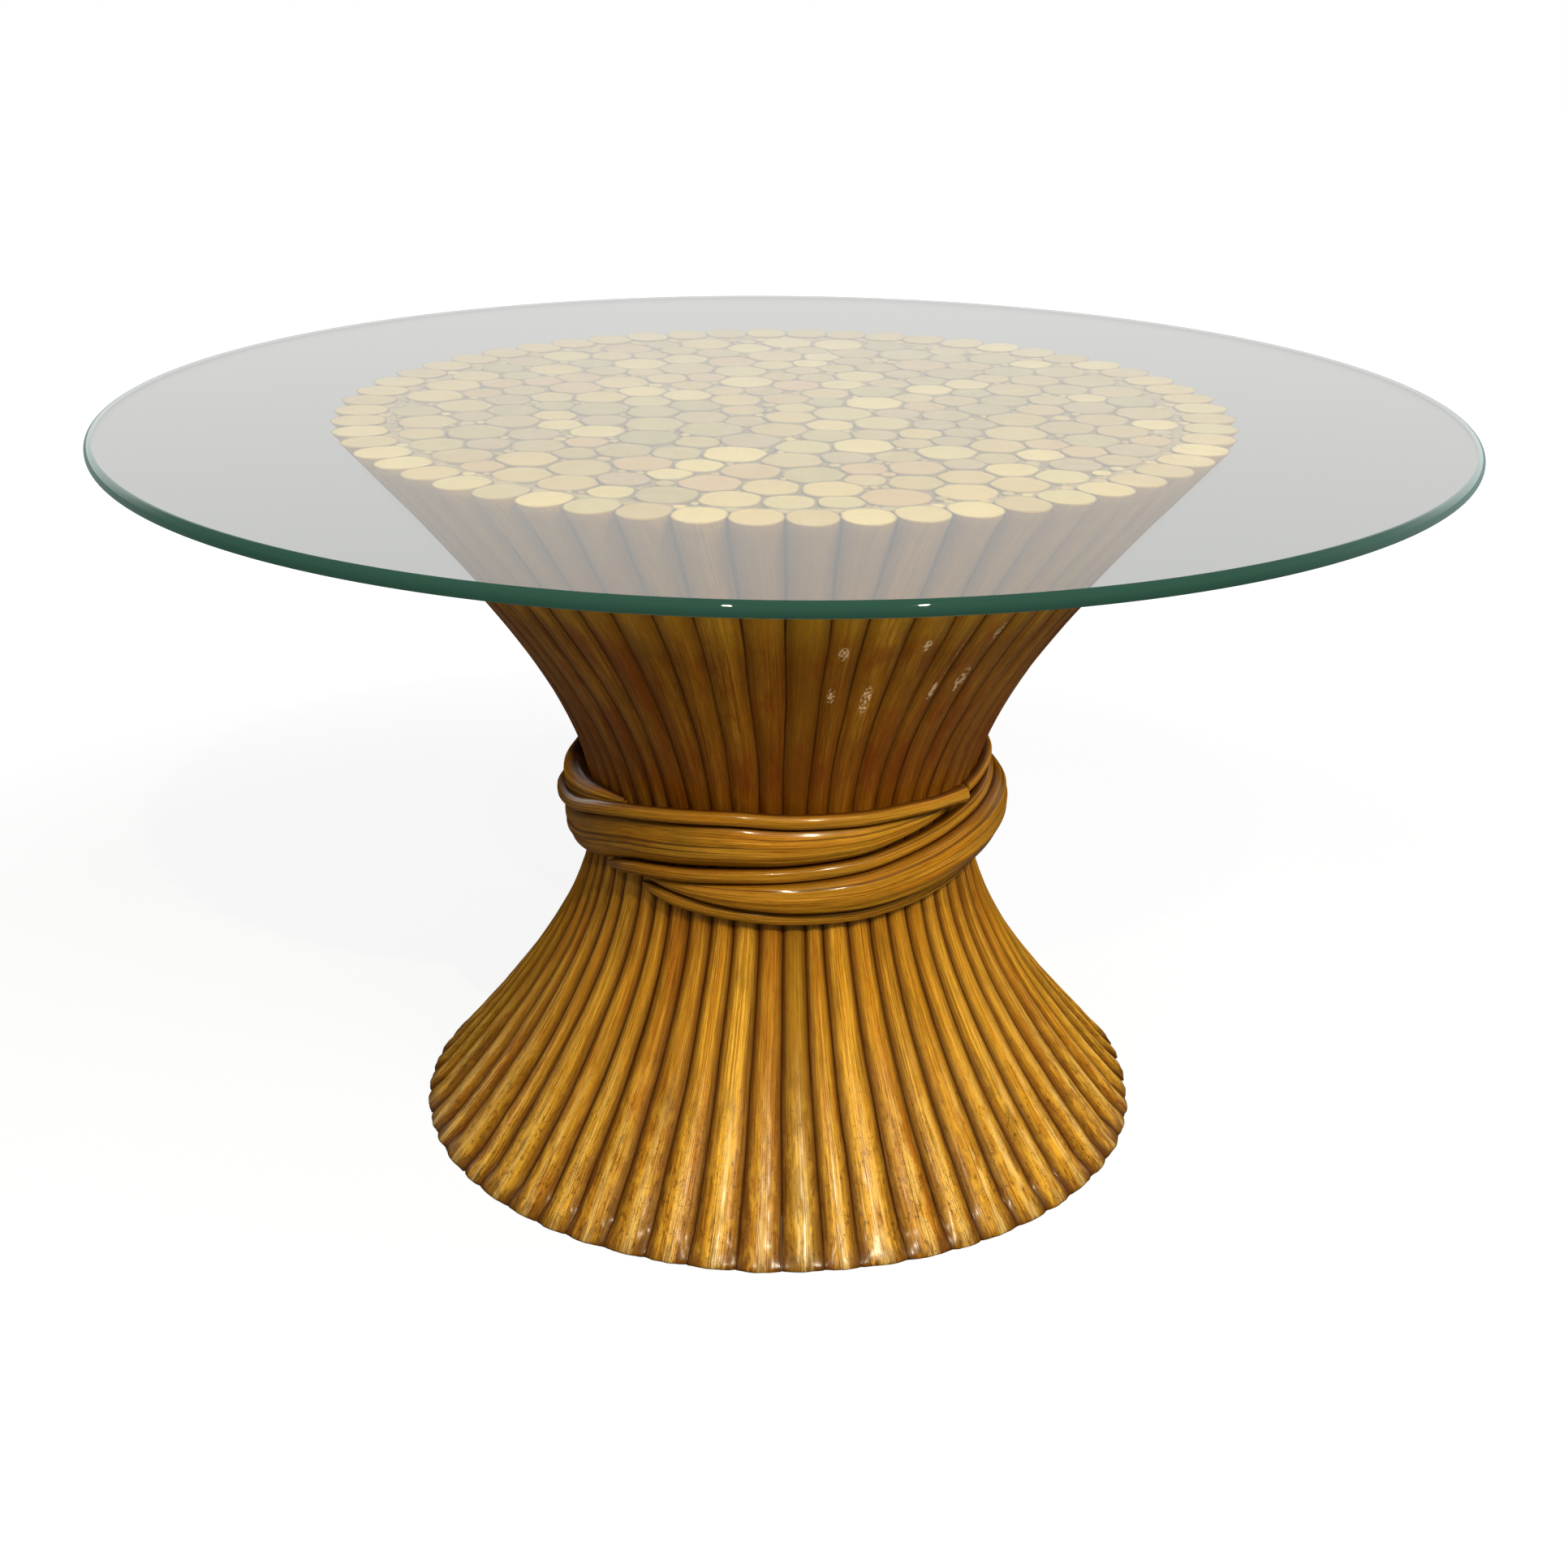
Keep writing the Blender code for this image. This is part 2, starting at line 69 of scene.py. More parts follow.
class Wire:
    """One socket of a node tree. Sums on it add Math nodes, and node() adds any other node to its tree."""

    __add__ = sum_method("ADD")
    __radd__ = sum_method("ADD", swapped=True)
    __sub__ = sum_method("SUBTRACT")
    __rsub__ = sum_method("SUBTRACT", swapped=True)
    __mul__ = sum_method("MULTIPLY")
    __rmul__ = sum_method("MULTIPLY", swapped=True)
    __truediv__ = sum_method("DIVIDE")
    __rtruediv__ = sum_method("DIVIDE", swapped=True)
    __pow__ = sum_method("POWER")
    __gt__ = sum_method("GREATER_THAN")

    def __init__(self, tree, socket=None):
        self.tree = tree
        self.socket = socket

    def __abs__(self):
        return self.math("ABSOLUTE")

    def math(self, operation, *others):
        """A Math node on this value and, where the operation takes more than one, on others."""
        return self.node("ShaderNodeMath", {"operation": operation}, dict(enumerate((self, *others))))

    def node(self, kind, settings=None, inputs=None, out=0):
        made = self.tree.nodes.new(kind)
        for name, value in (settings or {}).items():
            if name == "stops":
                set_stops(made.color_ramp, value)
            else:
                setattr(made, name, value)
        for key, value in (inputs or {}).items():
            self.feed(made.inputs[key], value)
        return Wire(self.tree, made.outputs[out])

    def feed(self, socket, value):
        if isinstance(value, Wire):
            self.tree.links.new(value.socket, socket)
        else:
            socket.default_value = value

    def other(self, out):
        """Another output of the node that this wire comes from."""
        return Wire(self.tree, self.socket.node.outputs[out])


def set_stops(ramp, stops):
    """Gives a colour ramp its stops, a list of (position, colour)."""
    while len(ramp.elements) < len(stops):
        ramp.elements.new(1.0)
    for element, (position, colour) in zip(ramp.elements, stops):
        element.position = position
        element.color = full(colour)


# %% Small helpers on wires
def split(vector):
    """The three numbers of a vector."""
    parts = vector.node("ShaderNodeSeparateXYZ", inputs={0: vector})
    return parts, parts.other(1), parts.other(2)


def join(root, x, y, z):
    return root.node("ShaderNodeCombineXYZ", inputs={0: x, 1: y, 2: z})


def stretch(vector, x, y, z):
    return vector.node("ShaderNodeVectorMath", {"operation": "MULTIPLY"}, {0: vector, 1: (x, y, z)})


def length(vector):
    return vector.node("ShaderNodeVectorMath", {"operation": "LENGTH"}, {0: vector}, out="Value")


def noise(vector, scale=1.0, detail=2.0, roughness=0.5):
    sizes = {"Vector": vector, "Scale": scale, "Detail": detail, "Roughness": roughness}
    return vector.node("ShaderNodeTexNoise", inputs=sizes)


def ease(value, low, high):
    """A smooth step from 0 at low to 1 at high, or falling where low is the larger of the two."""
    ends = {"Value": value, "From Min": low, "From Max": high}
    return value.node("ShaderNodeMapRange", {"interpolation_type": "SMOOTHSTEP"}, ends)


def full(colour):
    return colour if isinstance(colour, Wire) else (*colour, 1.0)


def blend(share, low, high):
    """The colour low where share is 0, going to high where it is 1."""
    ends = {0: share, 6: full(low), 7: full(high)}
    return share.node("ShaderNodeMix", {"data_type": "RGBA"}, ends, out=2)


def bump(root, height, distance, strength):
    return root.node("ShaderNodeBump", inputs={"Strength": strength, "Distance": distance, "Height": height})


# %% Small helpers on materials
def new_finish(name):
    """A new material, a wire to start its sums from, and its Principled shader."""
    material = bpy.data.materials.new(name)
    material.use_nodes = True
    return material, Wire(material.node_tree), material.node_tree.nodes["Principled BSDF"]


def lay(root, shader, values):
    """Sets the shader's sockets, and gives its surface."""
    for name, value in values.items():
        root.feed(shader.inputs[name], value)
    return Wire(root.tree, shader.outputs[0])


def either(share, one, other):
    """The surface one where share is 0, going to the other where it is 1."""
    return share.node("ShaderNodeMixShader", inputs={0: share, 1: one, 2: other})


def cover(material, surface):
    """Gives a material this surface in place of its plain Principled shader."""
    surface.feed(material.node_tree.nodes["Material Output"].inputs["Surface"], surface)


def attribute(root, name, out):
    return root.node("ShaderNodeAttribute", {"attribute_name": name}, out=out)


def object_place(root):
    return root.node("ShaderNodeTexCoord", out="Object")


def light_path(root, out):
    return root.node("ShaderNodeLightPath", out=out)


print("node helpers ready")

# %% [markdown]
# ## The studio
# The table stands on white paper under soft light from above and in front, stronger from the right, so the
# feet are bright and the canes under the glass fall off to brown. The camera was solved from the outlines of
# the glass and the sheaf. White paper is white to the camera by Light Path, with no more light on the table.
# Mirrored and through the glass the room is dimmer, because a real studio is not white all round: a bright
# back wall shows in the glass, and the lacquer sees a darker floor, front and ceiling, which keeps its colour
# deep. Of the lamps only the two small bulbs show in mirrors, as dots on the rim and glints on the lacquer.

# %% Camera
IMAGE_PIXELS = 1932
FOCAL_PIXELS = 2770.5
SHIFT_PIXELS = 3.5
SENSOR_MM = 36.0
CAMERA_PLACE = (0, -1.4882, 0.8228)
CAMERA_DOWN = 0.3758
CAMERA_ROLL = 0.0100

camera = bpy.data.objects.new("camera", bpy.data.cameras.new("camera"))
bpy.context.scene.collection.objects.link(camera)
camera.data.sensor_width = SENSOR_MM
camera.data.lens = FOCAL_PIXELS / IMAGE_PIXELS * SENSOR_MM
camera.data.shift_x = SHIFT_PIXELS / IMAGE_PIXELS
turn = Euler((math.pi / 2 - CAMERA_DOWN, 0, 0)).to_matrix() @ Matrix.Rotation(CAMERA_ROLL, 3, "Z")
camera.matrix_world = Matrix.Translation(CAMERA_PLACE) @ turn.to_4x4()
bpy.context.scene.camera = camera
bpy.context.scene.view_settings.view_transform = "Standard"
print(f"camera with a {camera.data.lens:.1f} mm lens")

# %% Background
SKY_FILL = 0.105
WALL_MIRRORED = 1.11
FRONT_WALL_MIRRORED = 0.14
CEILING_MIRRORED = 0.07
BACK_WALL = (0.35, 0.80)
WALL_FOOT = (0.02, 0.10)
WALL_TO_CEILING = (0.34, 0.52)
SEEN_THROUGH_GLASS = 0.42
ROOM_TINT = (1.0, 0.995, 0.975)
WHITE = (1, 1, 1)


def sight(root, seen, mirror, through_glass, fill):
    """How bright the studio is to the camera, in a mirror, through glass, and as a light."""
    by_camera = light_path(root, "Is Camera Ray")
    through = by_camera.other("Is Transmission Ray")
    mirrored = by_camera.other("Is Glossy Ray") * (1 - through)
    rest = 1 - by_camera - mirrored - through
    return by_camera * seen + mirrored * mirror + through * through_glass + rest * fill


world = bpy.data.worlds.new("studio")
world.use_nodes = True
bpy.context.scene.world = world
sky = Wire(world.node_tree)
to_back, rise = split(sky.node("ShaderNodeTexCoord", out="Generated"))[1:]
wall = FRONT_WALL_MIRRORED + ease(to_back, *BACK_WALL) * (WALL_MIRRORED - FRONT_WALL_MIRRORED)
wall = wall * ease(rise, *WALL_FOOT)
mirrored_room = wall + ease(rise, *WALL_TO_CEILING) * (CEILING_MIRRORED - wall)
background = world.node_tree.nodes["Background"].inputs
sky.feed(background["Color"], blend(light_path(sky, "Is Camera Ray"), ROOM_TINT, WHITE))
sky.feed(background["Strength"], sight(sky, 1.0, mirrored_room, SEEN_THROUGH_GLASS, SKY_FILL))
print("background ready")

# %% Floor
FLOOR_SIZE = 16.0
FLOOR_BELOW = 0.0005
FLOOR_GREY = (0.44, 0.45, 0.475)
FLOOR_ROUGHNESS = 0.9
FLOOR_MIRRORED = 0.05
PAPER_SHARE = 0.73
PAPER_WHITE = 1.20
BOUNCE_HELD_BACK = 0.45
SHADOW_REACH = (0.7, 1.8)


def mesh_from(name, points, faces):
    mesh = bpy.data.meshes.new(name)
    mesh.from_pydata([tuple(point) for point in points], [], faces)
    return mesh


def add_piece(name, mesh, *finishes):
    for finish in finishes:
        mesh.materials.append(finish)
    piece = bpy.data.objects.new(name, mesh)
    bpy.context.scene.collection.objects.link(piece)
    return piece


paper, root, shader = new_finish("white_paper")
plain_paper = lay(root, shader, {"Base Color": full(FLOOR_GREY), "Roughness": FLOOR_ROUGHNESS})
brightness = sight(root, PAPER_WHITE, FLOOR_MIRRORED, SEEN_THROUGH_GLASS, 0.0)
glow = root.node("ShaderNodeEmission", inputs={"Color": full(WHITE), "Strength": brightness})
path = light_path(root, "Is Camera Ray")
no_shadow = ease(length(object_place(root)), *SHADOW_REACH)
seen = path * (PAPER_SHARE + no_shadow * (1 - PAPER_SHARE))
mirror_or_glass = path.other("Is Glossy Ray").math("MAXIMUM", path.other("Is Transmission Ray"))
bounced = path.other("Is Diffuse Ray") * BOUNCE_HELD_BACK
cover(paper, either(seen + mirror_or_glass + bounced, plain_paper, glow))

half = FLOOR_SIZE / 2
corners = [(-half, -half, 0), (half, -half, 0), (half, half, 0), (-half, half, 0)]
floor = add_piece("floor", mesh_from("floor", corners, [(0, 1, 2, 3)]), paper)
floor.location.z = -FLOOR_BELOW
print("floor", FLOOR_SIZE, "m wide")

# %% Lamps
AIM = Vector((0, 0, 0.2))
WARM_LIGHT = (1.0, 0.91, 0.70)
# Place, width, watts, and whether the lamp shows in mirrors
LAMPS = {
    "right_bulb": ((0.80, -1.95, 2.20), 0.05, 38.0, True),
    "left_bulb": ((-0.33, -2.10, 2.30), 0.05, 20.0, True),
    "right_cloth": ((1.70, -1.80, 2.45), 1.30, 71.0, False),
    "left_cloth": ((-1.50, -1.30, 0.40), 0.60, 3.0, False),
    "ceiling_cloth": ((0.2, 0.1, 2.9), 2.6, 23.0, False),
}


def add_lamp(name, place, size, watts, mirrored):
    lamp = bpy.data.objects.new(name, bpy.data.lights.new(name, "AREA"))
    lamp.data.size = size
    lamp.data.energy = watts
    lamp.data.color = WARM_LIGHT if mirrored else WHITE
    lamp.visible_glossy = mirrored
    lamp.visible_transmission = mirrored
    lamp.location = place
    lamp.rotation_euler = (AIM - Vector(place)).to_track_quat("-Z", "Y").to_euler()
    bpy.context.scene.collection.objects.link(lamp)


for name, settings in LAMPS.items():
    add_lamp(name, *settings)
print(len(LAMPS), "lamps")

# %% [markdown]
# ## The shape of the sheaf
# Every cane follows one line: nearly straight towards the top and the foot, and bent at the waist. A branch
# of a hyperbola does that with one number for the bend. The function takes plain numbers, and it also takes
# wires, so the same rule drives the Geometry Nodes tree of the canes and the seats of the tie.

# %% Sizes of the sheaf
SHEAF = {
    "Sheaf Height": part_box("cane_pair_01")[1].z,
    "Top Radius": 0.299,
    "Foot Radius": 0.260,
    "Waist Radius": 0.134,
    "Waist Height": 0.225,
    "Waist Bend": 0.162,
    "Cane Ovality": 1.15,
}
CANE_PAIRS = 28
HALF_PITCH = math.pi / (2 * CANE_PAIRS)
CLEARANCE = 0.0003


def flare(height, sizes):
    """The sheaf's outer radius at this height."""
    def opening(distance):
        return (distance * distance + sizes["Waist Bend"] * sizes["Waist Bend"]) ** 0.5 - sizes["Waist Bend"]

    rise = height - sizes["Waist Height"]
    above = rise > 0
    to_top = opening(rise) / opening(sizes["Sheaf Height"] - sizes["Waist Height"])
    to_foot = opening(rise) / opening(sizes["Waist Height"])
    top = above * to_top * (sizes["Top Radius"] - sizes["Waist Radius"])
    foot = (1 - above) * to_foot * (sizes["Foot Radius"] - sizes["Waist Radius"])
    return sizes["Waist Radius"] + top + foot


heights = (0, SHEAF["Waist Height"], SHEAF["Sheaf Height"])
print("outer radius at foot, waist and top:", [round(flare(z, SHEAF), 4) for z in heights])

# %% [markdown]
# ## Lacquered cane
# Rattan skin is honey to amber, with fibres that run along the cane, and scuffed at the foot. It is browner
# from below the tie up under the glass, which is painted shade over a darker stain, and darker in the
# valleys, which is painted shade over the stain that gathers there; a painted highlight runs along the ridges
# at the foot. The pattern has to follow each cane, so it reads an attribute that the mesh carries: the place
# across the cane, or the angle on a strand of the tie, then the distance along it and the cane's number. The
# number feeds White Noise, and so no two canes have the same tone. Like the real finish it is laid in thin
# coats: a pattern of noise, where it comes up, and its tint.

# %% Tints and patterns of the lacquer
HONEY = (0.62, 0.265, 0.010)
STRAW = (0.88, 0.460, 0.038)
AMBER = (0.48, 0.150, 0.004)
UMBER = (0.15, 0.042, 0.0018)
SHADE_AND_BROWNING = (0.15, 0.025, 0.0006)
RUSSET = (0.34, 0.072, 0.0020)
TOP_TONE = (0.54, 0.285, 0.012)
OLIVE = (0.27, 0.150, 0.007)
VALLEY_SHADE_AND_DIRT = (0.085, 0.022, 0.0012)
STAIN = (0.040, 0.010, 0.001)
PAINTED_RIDGE_HIGHLIGHT = (0.88, 0.62, 0.20)
FLAKE = (0.92, 0.66, 0.38)
GOLDEN_SHEEN = (1.0, 0.76, 0.36)
# Patterns of noise: their pace across the cane, along it and from cane to cane, their detail and roughness
PATTERNS = {
    "fibre": (13, 17, 3.7, 4, 0.62),
    "streak": (3.4, 7, 7.3, 2, 0.5),
    "patch": (0.8, 15, 5.1, 3, 0.5),
    "mottle": (1.1, 21, 8.7, 3, 0.5),
    "threads": (26, 14, 2.3, 3, 0.6),
    "flecks": (24, 85, 1.9, 3, 0.6),
    "lumps": (2.6, 75, 4.4, 3, 0.5),
    "splits": (4.6, 2.4, 1.3, 1, 0.5),
    "glaze": (0.7, 26, 6.3, 3, 0.5),
    "dashes": (6, 400, 9.3, 1, 0.5),
    "specks": (7, 300, 2.9, 3, 0.5),
    "worn": (5, 110, 3.3, 3, 0.5),
    "crazing": (4, 150, 5.7, 2, 0.5),
}
# Coats of paint: the pattern, where it begins and is full, the share it then covers, and the tint
SKIN_COATS = (
    ("mottle", 0.52, 0.70, 0.55, OLIVE),
    ("fibre", 0.46, 0.68, 0.70, UMBER),
    ("threads", 0.45, 0.33, 0.50, STRAW),
    ("threads", 0.53, 0.64, 0.70, UMBER),
    ("flecks", 0.53, 0.68, 0.66, UMBER),
)
RUBBED_LUMPS = (0.50, 0.64)
UPPER_COATS = (("glaze", 0.52, 0.66, 0.60, RUSSET), ("glaze", 0.46, 0.34, 0.45, OLIVE))
FOOT_COATS = (("specks", 0.57, 0.66, 0.60, STAIN), ("lumps", *RUBBED_LUMPS, 0.55, STRAW))
SPLIT_COATS = (("splits", 0.57, 0.61, 0.65, STAIN),)
SPOT_EDGE = (1.05, 0.55)


def chance(number, shift):
    """A number from 0 to 1 that is settled by the cane's own number."""
    settings = {"noise_dimensions": "1D"}
    return number.node("ShaderNodeTexWhiteNoise", settings, {"W": number + shift}, out="Value")


class Skin:
    """The skin of a cane: its grain, and patterns on it that are made when they are first asked for."""

    def __init__(self, root):
        self.grain = attribute(root, "grain", "Vector")
        self.across, self.along, self.number = split(self.grain)
        self.made = {}

    def pattern(self, name):
        if name not in self.made:
            *pace, detail, roughness = PATTERNS[name]
            self.made[name] = noise(stretch(self.grain, *pace), detail=detail, roughness=roughness)
        return self.made[name]

    def between(self, name, begin, end):
        """How far a pattern has come up."""
        return ease(self.pattern(name), begin, end)

    def paint(self, colour, coats, where=1.0):
        """Lays these coats over a colour, where the mask lets them."""
        for name, begin, end, share, tint in coats:
            colour = blend(self.between(name, begin, end) * share * where, colour, tint)
        return colour

    def only(self, cane):
        """1 on this one cane."""
        return 1 - (abs(self.number - cane) > 0.5)

    def spots(self, places):
        """1 inside each of these oval spots."""
        mask = self.number * 0
        for cane, across, height, wide, tall in places:
            off_side = (self.across - across) / wide
            off_height = (self.along - height) / tall
            spot = ease(off_side * off_side + off_height * off_height, *SPOT_EDGE)
            mask = mask + spot * self.only(cane)
        return mask


print(len(PATTERNS), "patterns of the skin")

# %% Wear of the canes, with painted shade and highlight
# Spots: the cane, the place across it from -1 to 1, the height, and half the width and length
CHIPS = ((2, -0.07, 0.4036, 0.34, 0.006), (2, -0.34, 0.3684, 0.30, 0.007), (3, -0.08, 0.3628, 0.30, 0.013),
         (4, 0.10, 0.4054, 0.24, 0.005), (5, 0.27, 0.3624, 0.28, 0.009), (6, 0.14, 0.3694, 0.40, 0.011),
         (6, 0.47, 0.4076, 0.28, 0.007))
SCRATCHES = ((5, 0.52, 0.392, 0.05, 0.026),)
PIN_HOLES = ((6, 0.70, 0.0744, 0.06, 0.0010), (13, 0.60, 0.0152, 0.06, 0.0010))
CHIP_DASHES = (0.47, 0.54)
CHIP_SHARE = 0.9
SCRATCH_SHARE = 0.6
UPPER_PART = (0.22, 0.30)
SHADE_AND_BROWNING_FROM = (0.11, 0.30)
SHADE_AND_BROWNING_SHARE = 0.76
DARKEST_TO = (0.29, 0.36)
LESS_ABOVE = 0.24
PALER_TOP = (0.39, 0.45)
LESS_AT_TOP = 0.50
TOP_TONE_SHARE = 0.60
WEAR_AND_HIGHLIGHT_BELOW = (0.135, 0.020)
DIRTY_EDGE = (0.013, 0.001)
DIRTY_WAVER = 0.034
DIRTY_SHARE = 0.68
HIGHLIGHT_AT = 0.12
HIGHLIGHT_WAVER = 0.5
HIGHLIGHT_WIDTH = (0.36, 0.04)
HIGHLIGHT_THREADS = (0.60, 0.44)
HIGHLIGHT_LUMPS = (0.32, 0.50)
HIGHLIGHT_SHARE = 0.58
CRACK_WIDTH = (0.014, 0.004)
CRACKED_PATCHES = (0.42, 0.54)
CRACK_SHARE = 0.75


def under_the_glass(skin, colour):
    """The upper canes: a thick glaze, painted shade over browner stain from below the tie, paler again at the
    top, chips.
    """
    colour = skin.paint(colour, UPPER_COATS, ease(skin.along, *UPPER_PART))
    paler = ease(skin.along, *PALER_TOP)
    # Painted shade over a browner stain, from below the tie up under the glass, easing off at the top
    share = SHADE_AND_BROWNING_SHARE - LESS_ABOVE * ease(skin.along, *DARKEST_TO) - LESS_AT_TOP * paler
    colour = blend(ease(skin.along, *SHADE_AND_BROWNING_FROM) * share, colour, SHADE_AND_BROWNING)
    colour = blend(paler * TOP_TONE_SHARE, colour, TOP_TONE)
    dashes = skin.between("dashes", *CHIP_DASHES)
    for places, share in ((CHIPS, CHIP_SHARE), (SCRATCHES, SCRATCH_SHARE)):
        colour = blend(dashes * skin.spots(places) * share, colour, FLAKE)
    return colour


def at_the_foot(skin, colour, low):
    """The worn feet: pin holes, specks, rubbed lumps, dirt at the floor, a painted highlight along the ridge,
    fine cracks.
    """
    colour = blend(skin.spots(PIN_HOLES), colour, STAIN)
    colour = skin.paint(colour, FOOT_COATS, low)
    above_floor = skin.along + (skin.pattern("worn") - 0.5) * DIRTY_WAVER
    colour = blend(ease(above_floor, *DIRTY_EDGE) * DIRTY_SHARE, colour, VALLEY_SHADE_AND_DIRT)
    # A painted highlight along each ridge, a little right of its middle, broken by threads and lumps
    off_highlight = abs(skin.across - HIGHLIGHT_AT + (skin.pattern("streak") - 0.5) * HIGHLIGHT_WAVER)
    painted_highlight = ease(off_highlight, *HIGHLIGHT_WIDTH) * low
    painted_highlight = painted_highlight * skin.between("threads", *HIGHLIGHT_THREADS) * skin.between("lumps", *HIGHLIGHT_LUMPS)
    colour = blend(painted_highlight * HIGHLIGHT_SHARE, colour, PAINTED_RIDGE_HIGHLIGHT)
    cracks = ease(abs(skin.pattern("crazing") - 0.5), *CRACK_WIDTH) * low
    cracks = cracks * skin.between("patch", *CRACKED_PATCHES)
    return blend(cracks * CRACK_SHARE, colour, STAIN)


def cane_wear_and_painted_light(skin, colour):
    """The colour of a worn cane with its painted shade and highlight, and where rubbing has made it duller.
    """
    low = ease(skin.along, *WEAR_AND_HIGHLIGHT_BELOW)
    colour = at_the_foot(skin, under_the_glass(skin, colour), low)
    return colour, skin.between("lumps", *RUBBED_LUMPS) * low


print(len(CHIPS), "chips near the top")

# %% The lacquer
STRAW_STREAKS = (0.36, 0.66)
AMBER_PATCHES = (0.58, 0.90)
AMBER_BY_PATCH = 0.8
AMBER_BY_CANE = 0.35
DARK_CANES = (0.45, 1.0)
DARK_CANE_SHARE = 0.26
OLD_CANE = 1
OLD_CANE_SHARE = 0.50
VALLEY_SHARE = 0.90
VALLEY_WAVER = 0.25
SEAM_FROM = 0.12
SEAM_TO = 0.04
SEAM_SHARE = 0.70
DUSTY_BEHIND = (-0.09, 0.0)
DUST_ROUGHNESS = 0.70
RUBBED_ROUGHNESS = 0.10
FIBRE_ROUGHNESS = 0.20
DULL_THREADS = (0.46, 0.60)
DULL_SHARE = 0.75
RELIEF = {"fibre": 0.5, "threads": 0.5, "streak": 0.4, "lumps": 1.3}
RELIEF_HEIGHT = 0.0011
RELIEF_STRENGTH = 0.8


def lacquer(name, shaded_valley, amber, sheen, gloss, wear_and_light, thinner_above=0.0):
    """A lacquered skin. Sheen is the skin's specular level and roughness, and gloss the coat's two values."""
    material, root, shader = new_finish(name)
    skin = Skin(root)
    streak = skin.pattern("streak")
    colour = blend(ease(streak, *STRAW_STREAKS), HONEY, STRAW)
    aged = chance(skin.number, 40.5) * AMBER_BY_CANE + skin.pattern("patch") * AMBER_BY_PATCH
    colour = blend(ease(aged, *AMBER_PATCHES) * (1 - amber) + amber, colour, AMBER)
    colour = skin.paint(colour, SKIN_COATS)
    colour = blend(ease(chance(skin.number, 0.5), *DARK_CANES) * DARK_CANE_SHARE, colour, UMBER)
    colour = blend(skin.only(OLD_CANE) * OLD_CANE_SHARE, colour, OLIVE)
    colour, rubbed = wear_and_light(skin, colour)
    side = abs(skin.across)
    # The valleys are darkened with painted shade over the stain that gathers there, between the canes and
    # between the strands of the tie; the thin line at the seam is the dark joint
    shade_and_stain = VALLEY_SHARE - thinner_above * ease(skin.along, *UPPER_PART)
    colour = blend(ease(side + (streak - 0.5) * VALLEY_WAVER, *shaded_valley) * shade_and_stain, colour, VALLEY_SHADE_AND_DIRT)
    colour = blend(ease(side, shaded_valley[1] - SEAM_FROM, shaded_valley[1] - SEAM_TO) * SEAM_SHARE, colour, STAIN)
    dusty = ease(split(object_place(root))[1], *DUSTY_BEHIND)
    rough = sheen[1] + skin.pattern("fibre") * FIBRE_ROUGHNESS + rubbed * RUBBED_ROUGHNESS
    relief = sum(skin.pattern(word) * share for word, share in RELIEF.items())
    lay(root, shader, {
        "Base Color": colour,
        "Roughness": rough + dusty * DUST_ROUGHNESS,
        "Specular IOR Level": sheen[0],
        "Specular Tint": full(GOLDEN_SHEEN),
        "Coat Weight": gloss[0] * (1 - DULL_SHARE * skin.between("threads", *DULL_THREADS)) * (1 - dusty),
        "Coat Roughness": gloss[1],
        "Normal": bump(root, relief, RELIEF_HEIGHT, RELIEF_STRENGTH),
    })
    return material


cane_skin = lacquer("lacquered_cane", shaded_valley=(0.26, 1.03), amber=0.08, sheen=(0.28, 0.27), gloss=(0.40, 0.21),
                    wear_and_light=cane_wear_and_painted_light, thinner_above=0.42)
print("finish", cane_skin.name)

# %% [markdown]
# ## Sawn ends
# Where a cane is sawn across, the pale inside shows: cream wood with fine pores, a darker skin round it, and
# one end greener, pinker or greyer than the next. The mesh carries how far out a point lies on its end and
# a tint for each end, and the pores read the end's own flat coordinates.

# %% The sawn end
END_TINTS = (
    (0.00, (0.64, 0.450, 0.140)),
    (0.20, (0.48, 0.335, 0.105)),
    (0.38, (0.76, 0.570, 0.200)),
    (0.54, (0.41, 0.325, 0.108)),
    (0.68, (0.54, 0.325, 0.115)),
    (0.82, (0.35, 0.290, 0.104)),
    (1.00, (0.42, 0.290, 0.135)),
)
END_SKIN = (0.12, 0.078, 0.034)
PORE = (0.34, 0.26, 0.16)
DARKER_CLOUD = (0.58, 0.44, 0.27)
SAW_MARK = (0.90, 0.80, 0.60)


def sawn_end(name):
    material, root, shader = new_finish(name)
    grain = attribute(root, "grain", "Vector")
    colour = root.node("ShaderNodeValToRGB", {"stops": END_TINTS}, {0: attribute(root, "tint", "Fac")})
    pores = noise(grain, 900, detail=1)
    clouds = noise(grain, 90, detail=3)
    saw = noise(stretch(grain, 40, 700, 1), detail=2)
    # Where each mark begins and is full, the share it then covers, and its tint
    marks = (
        (pores, 0.56, 0.70, 0.45, PORE),
        (clouds, 0.45, 0.75, 0.35, DARKER_CLOUD),
        (saw, 0.5, 0.8, 0.18, SAW_MARK),
        (attribute(root, "rim", "Fac"), 0.90, 1.0, 0.88, END_SKIN),
    )
    for mark, begin, end, share, tint in marks:
        colour = blend(ease(mark, begin, end) * share, colour, tint)
    lay(root, shader, {
        "Base Color": colour,
        "Roughness": 0.62 + pores * 0.2,
        "Normal": bump(root, saw - pores, 0.0003, 0.4),
    })
    return material


sawn = sawn_end("sawn_cane_end")
print("finish", sawn.name)

# %% [markdown]
# ## The canes
# Each cane is an oval rod that follows the flare, a little crooked and a little swollen here and there. All
# of them come from one rule, so a Geometry Nodes tree makes them: two unit cylinders per pair, whose points
# are moved onto the cane's own line. The cane's number drives its noise. The sheaf is built from glued pairs,
# and each pair becomes a piece of its own that stands for the pair in the frame.

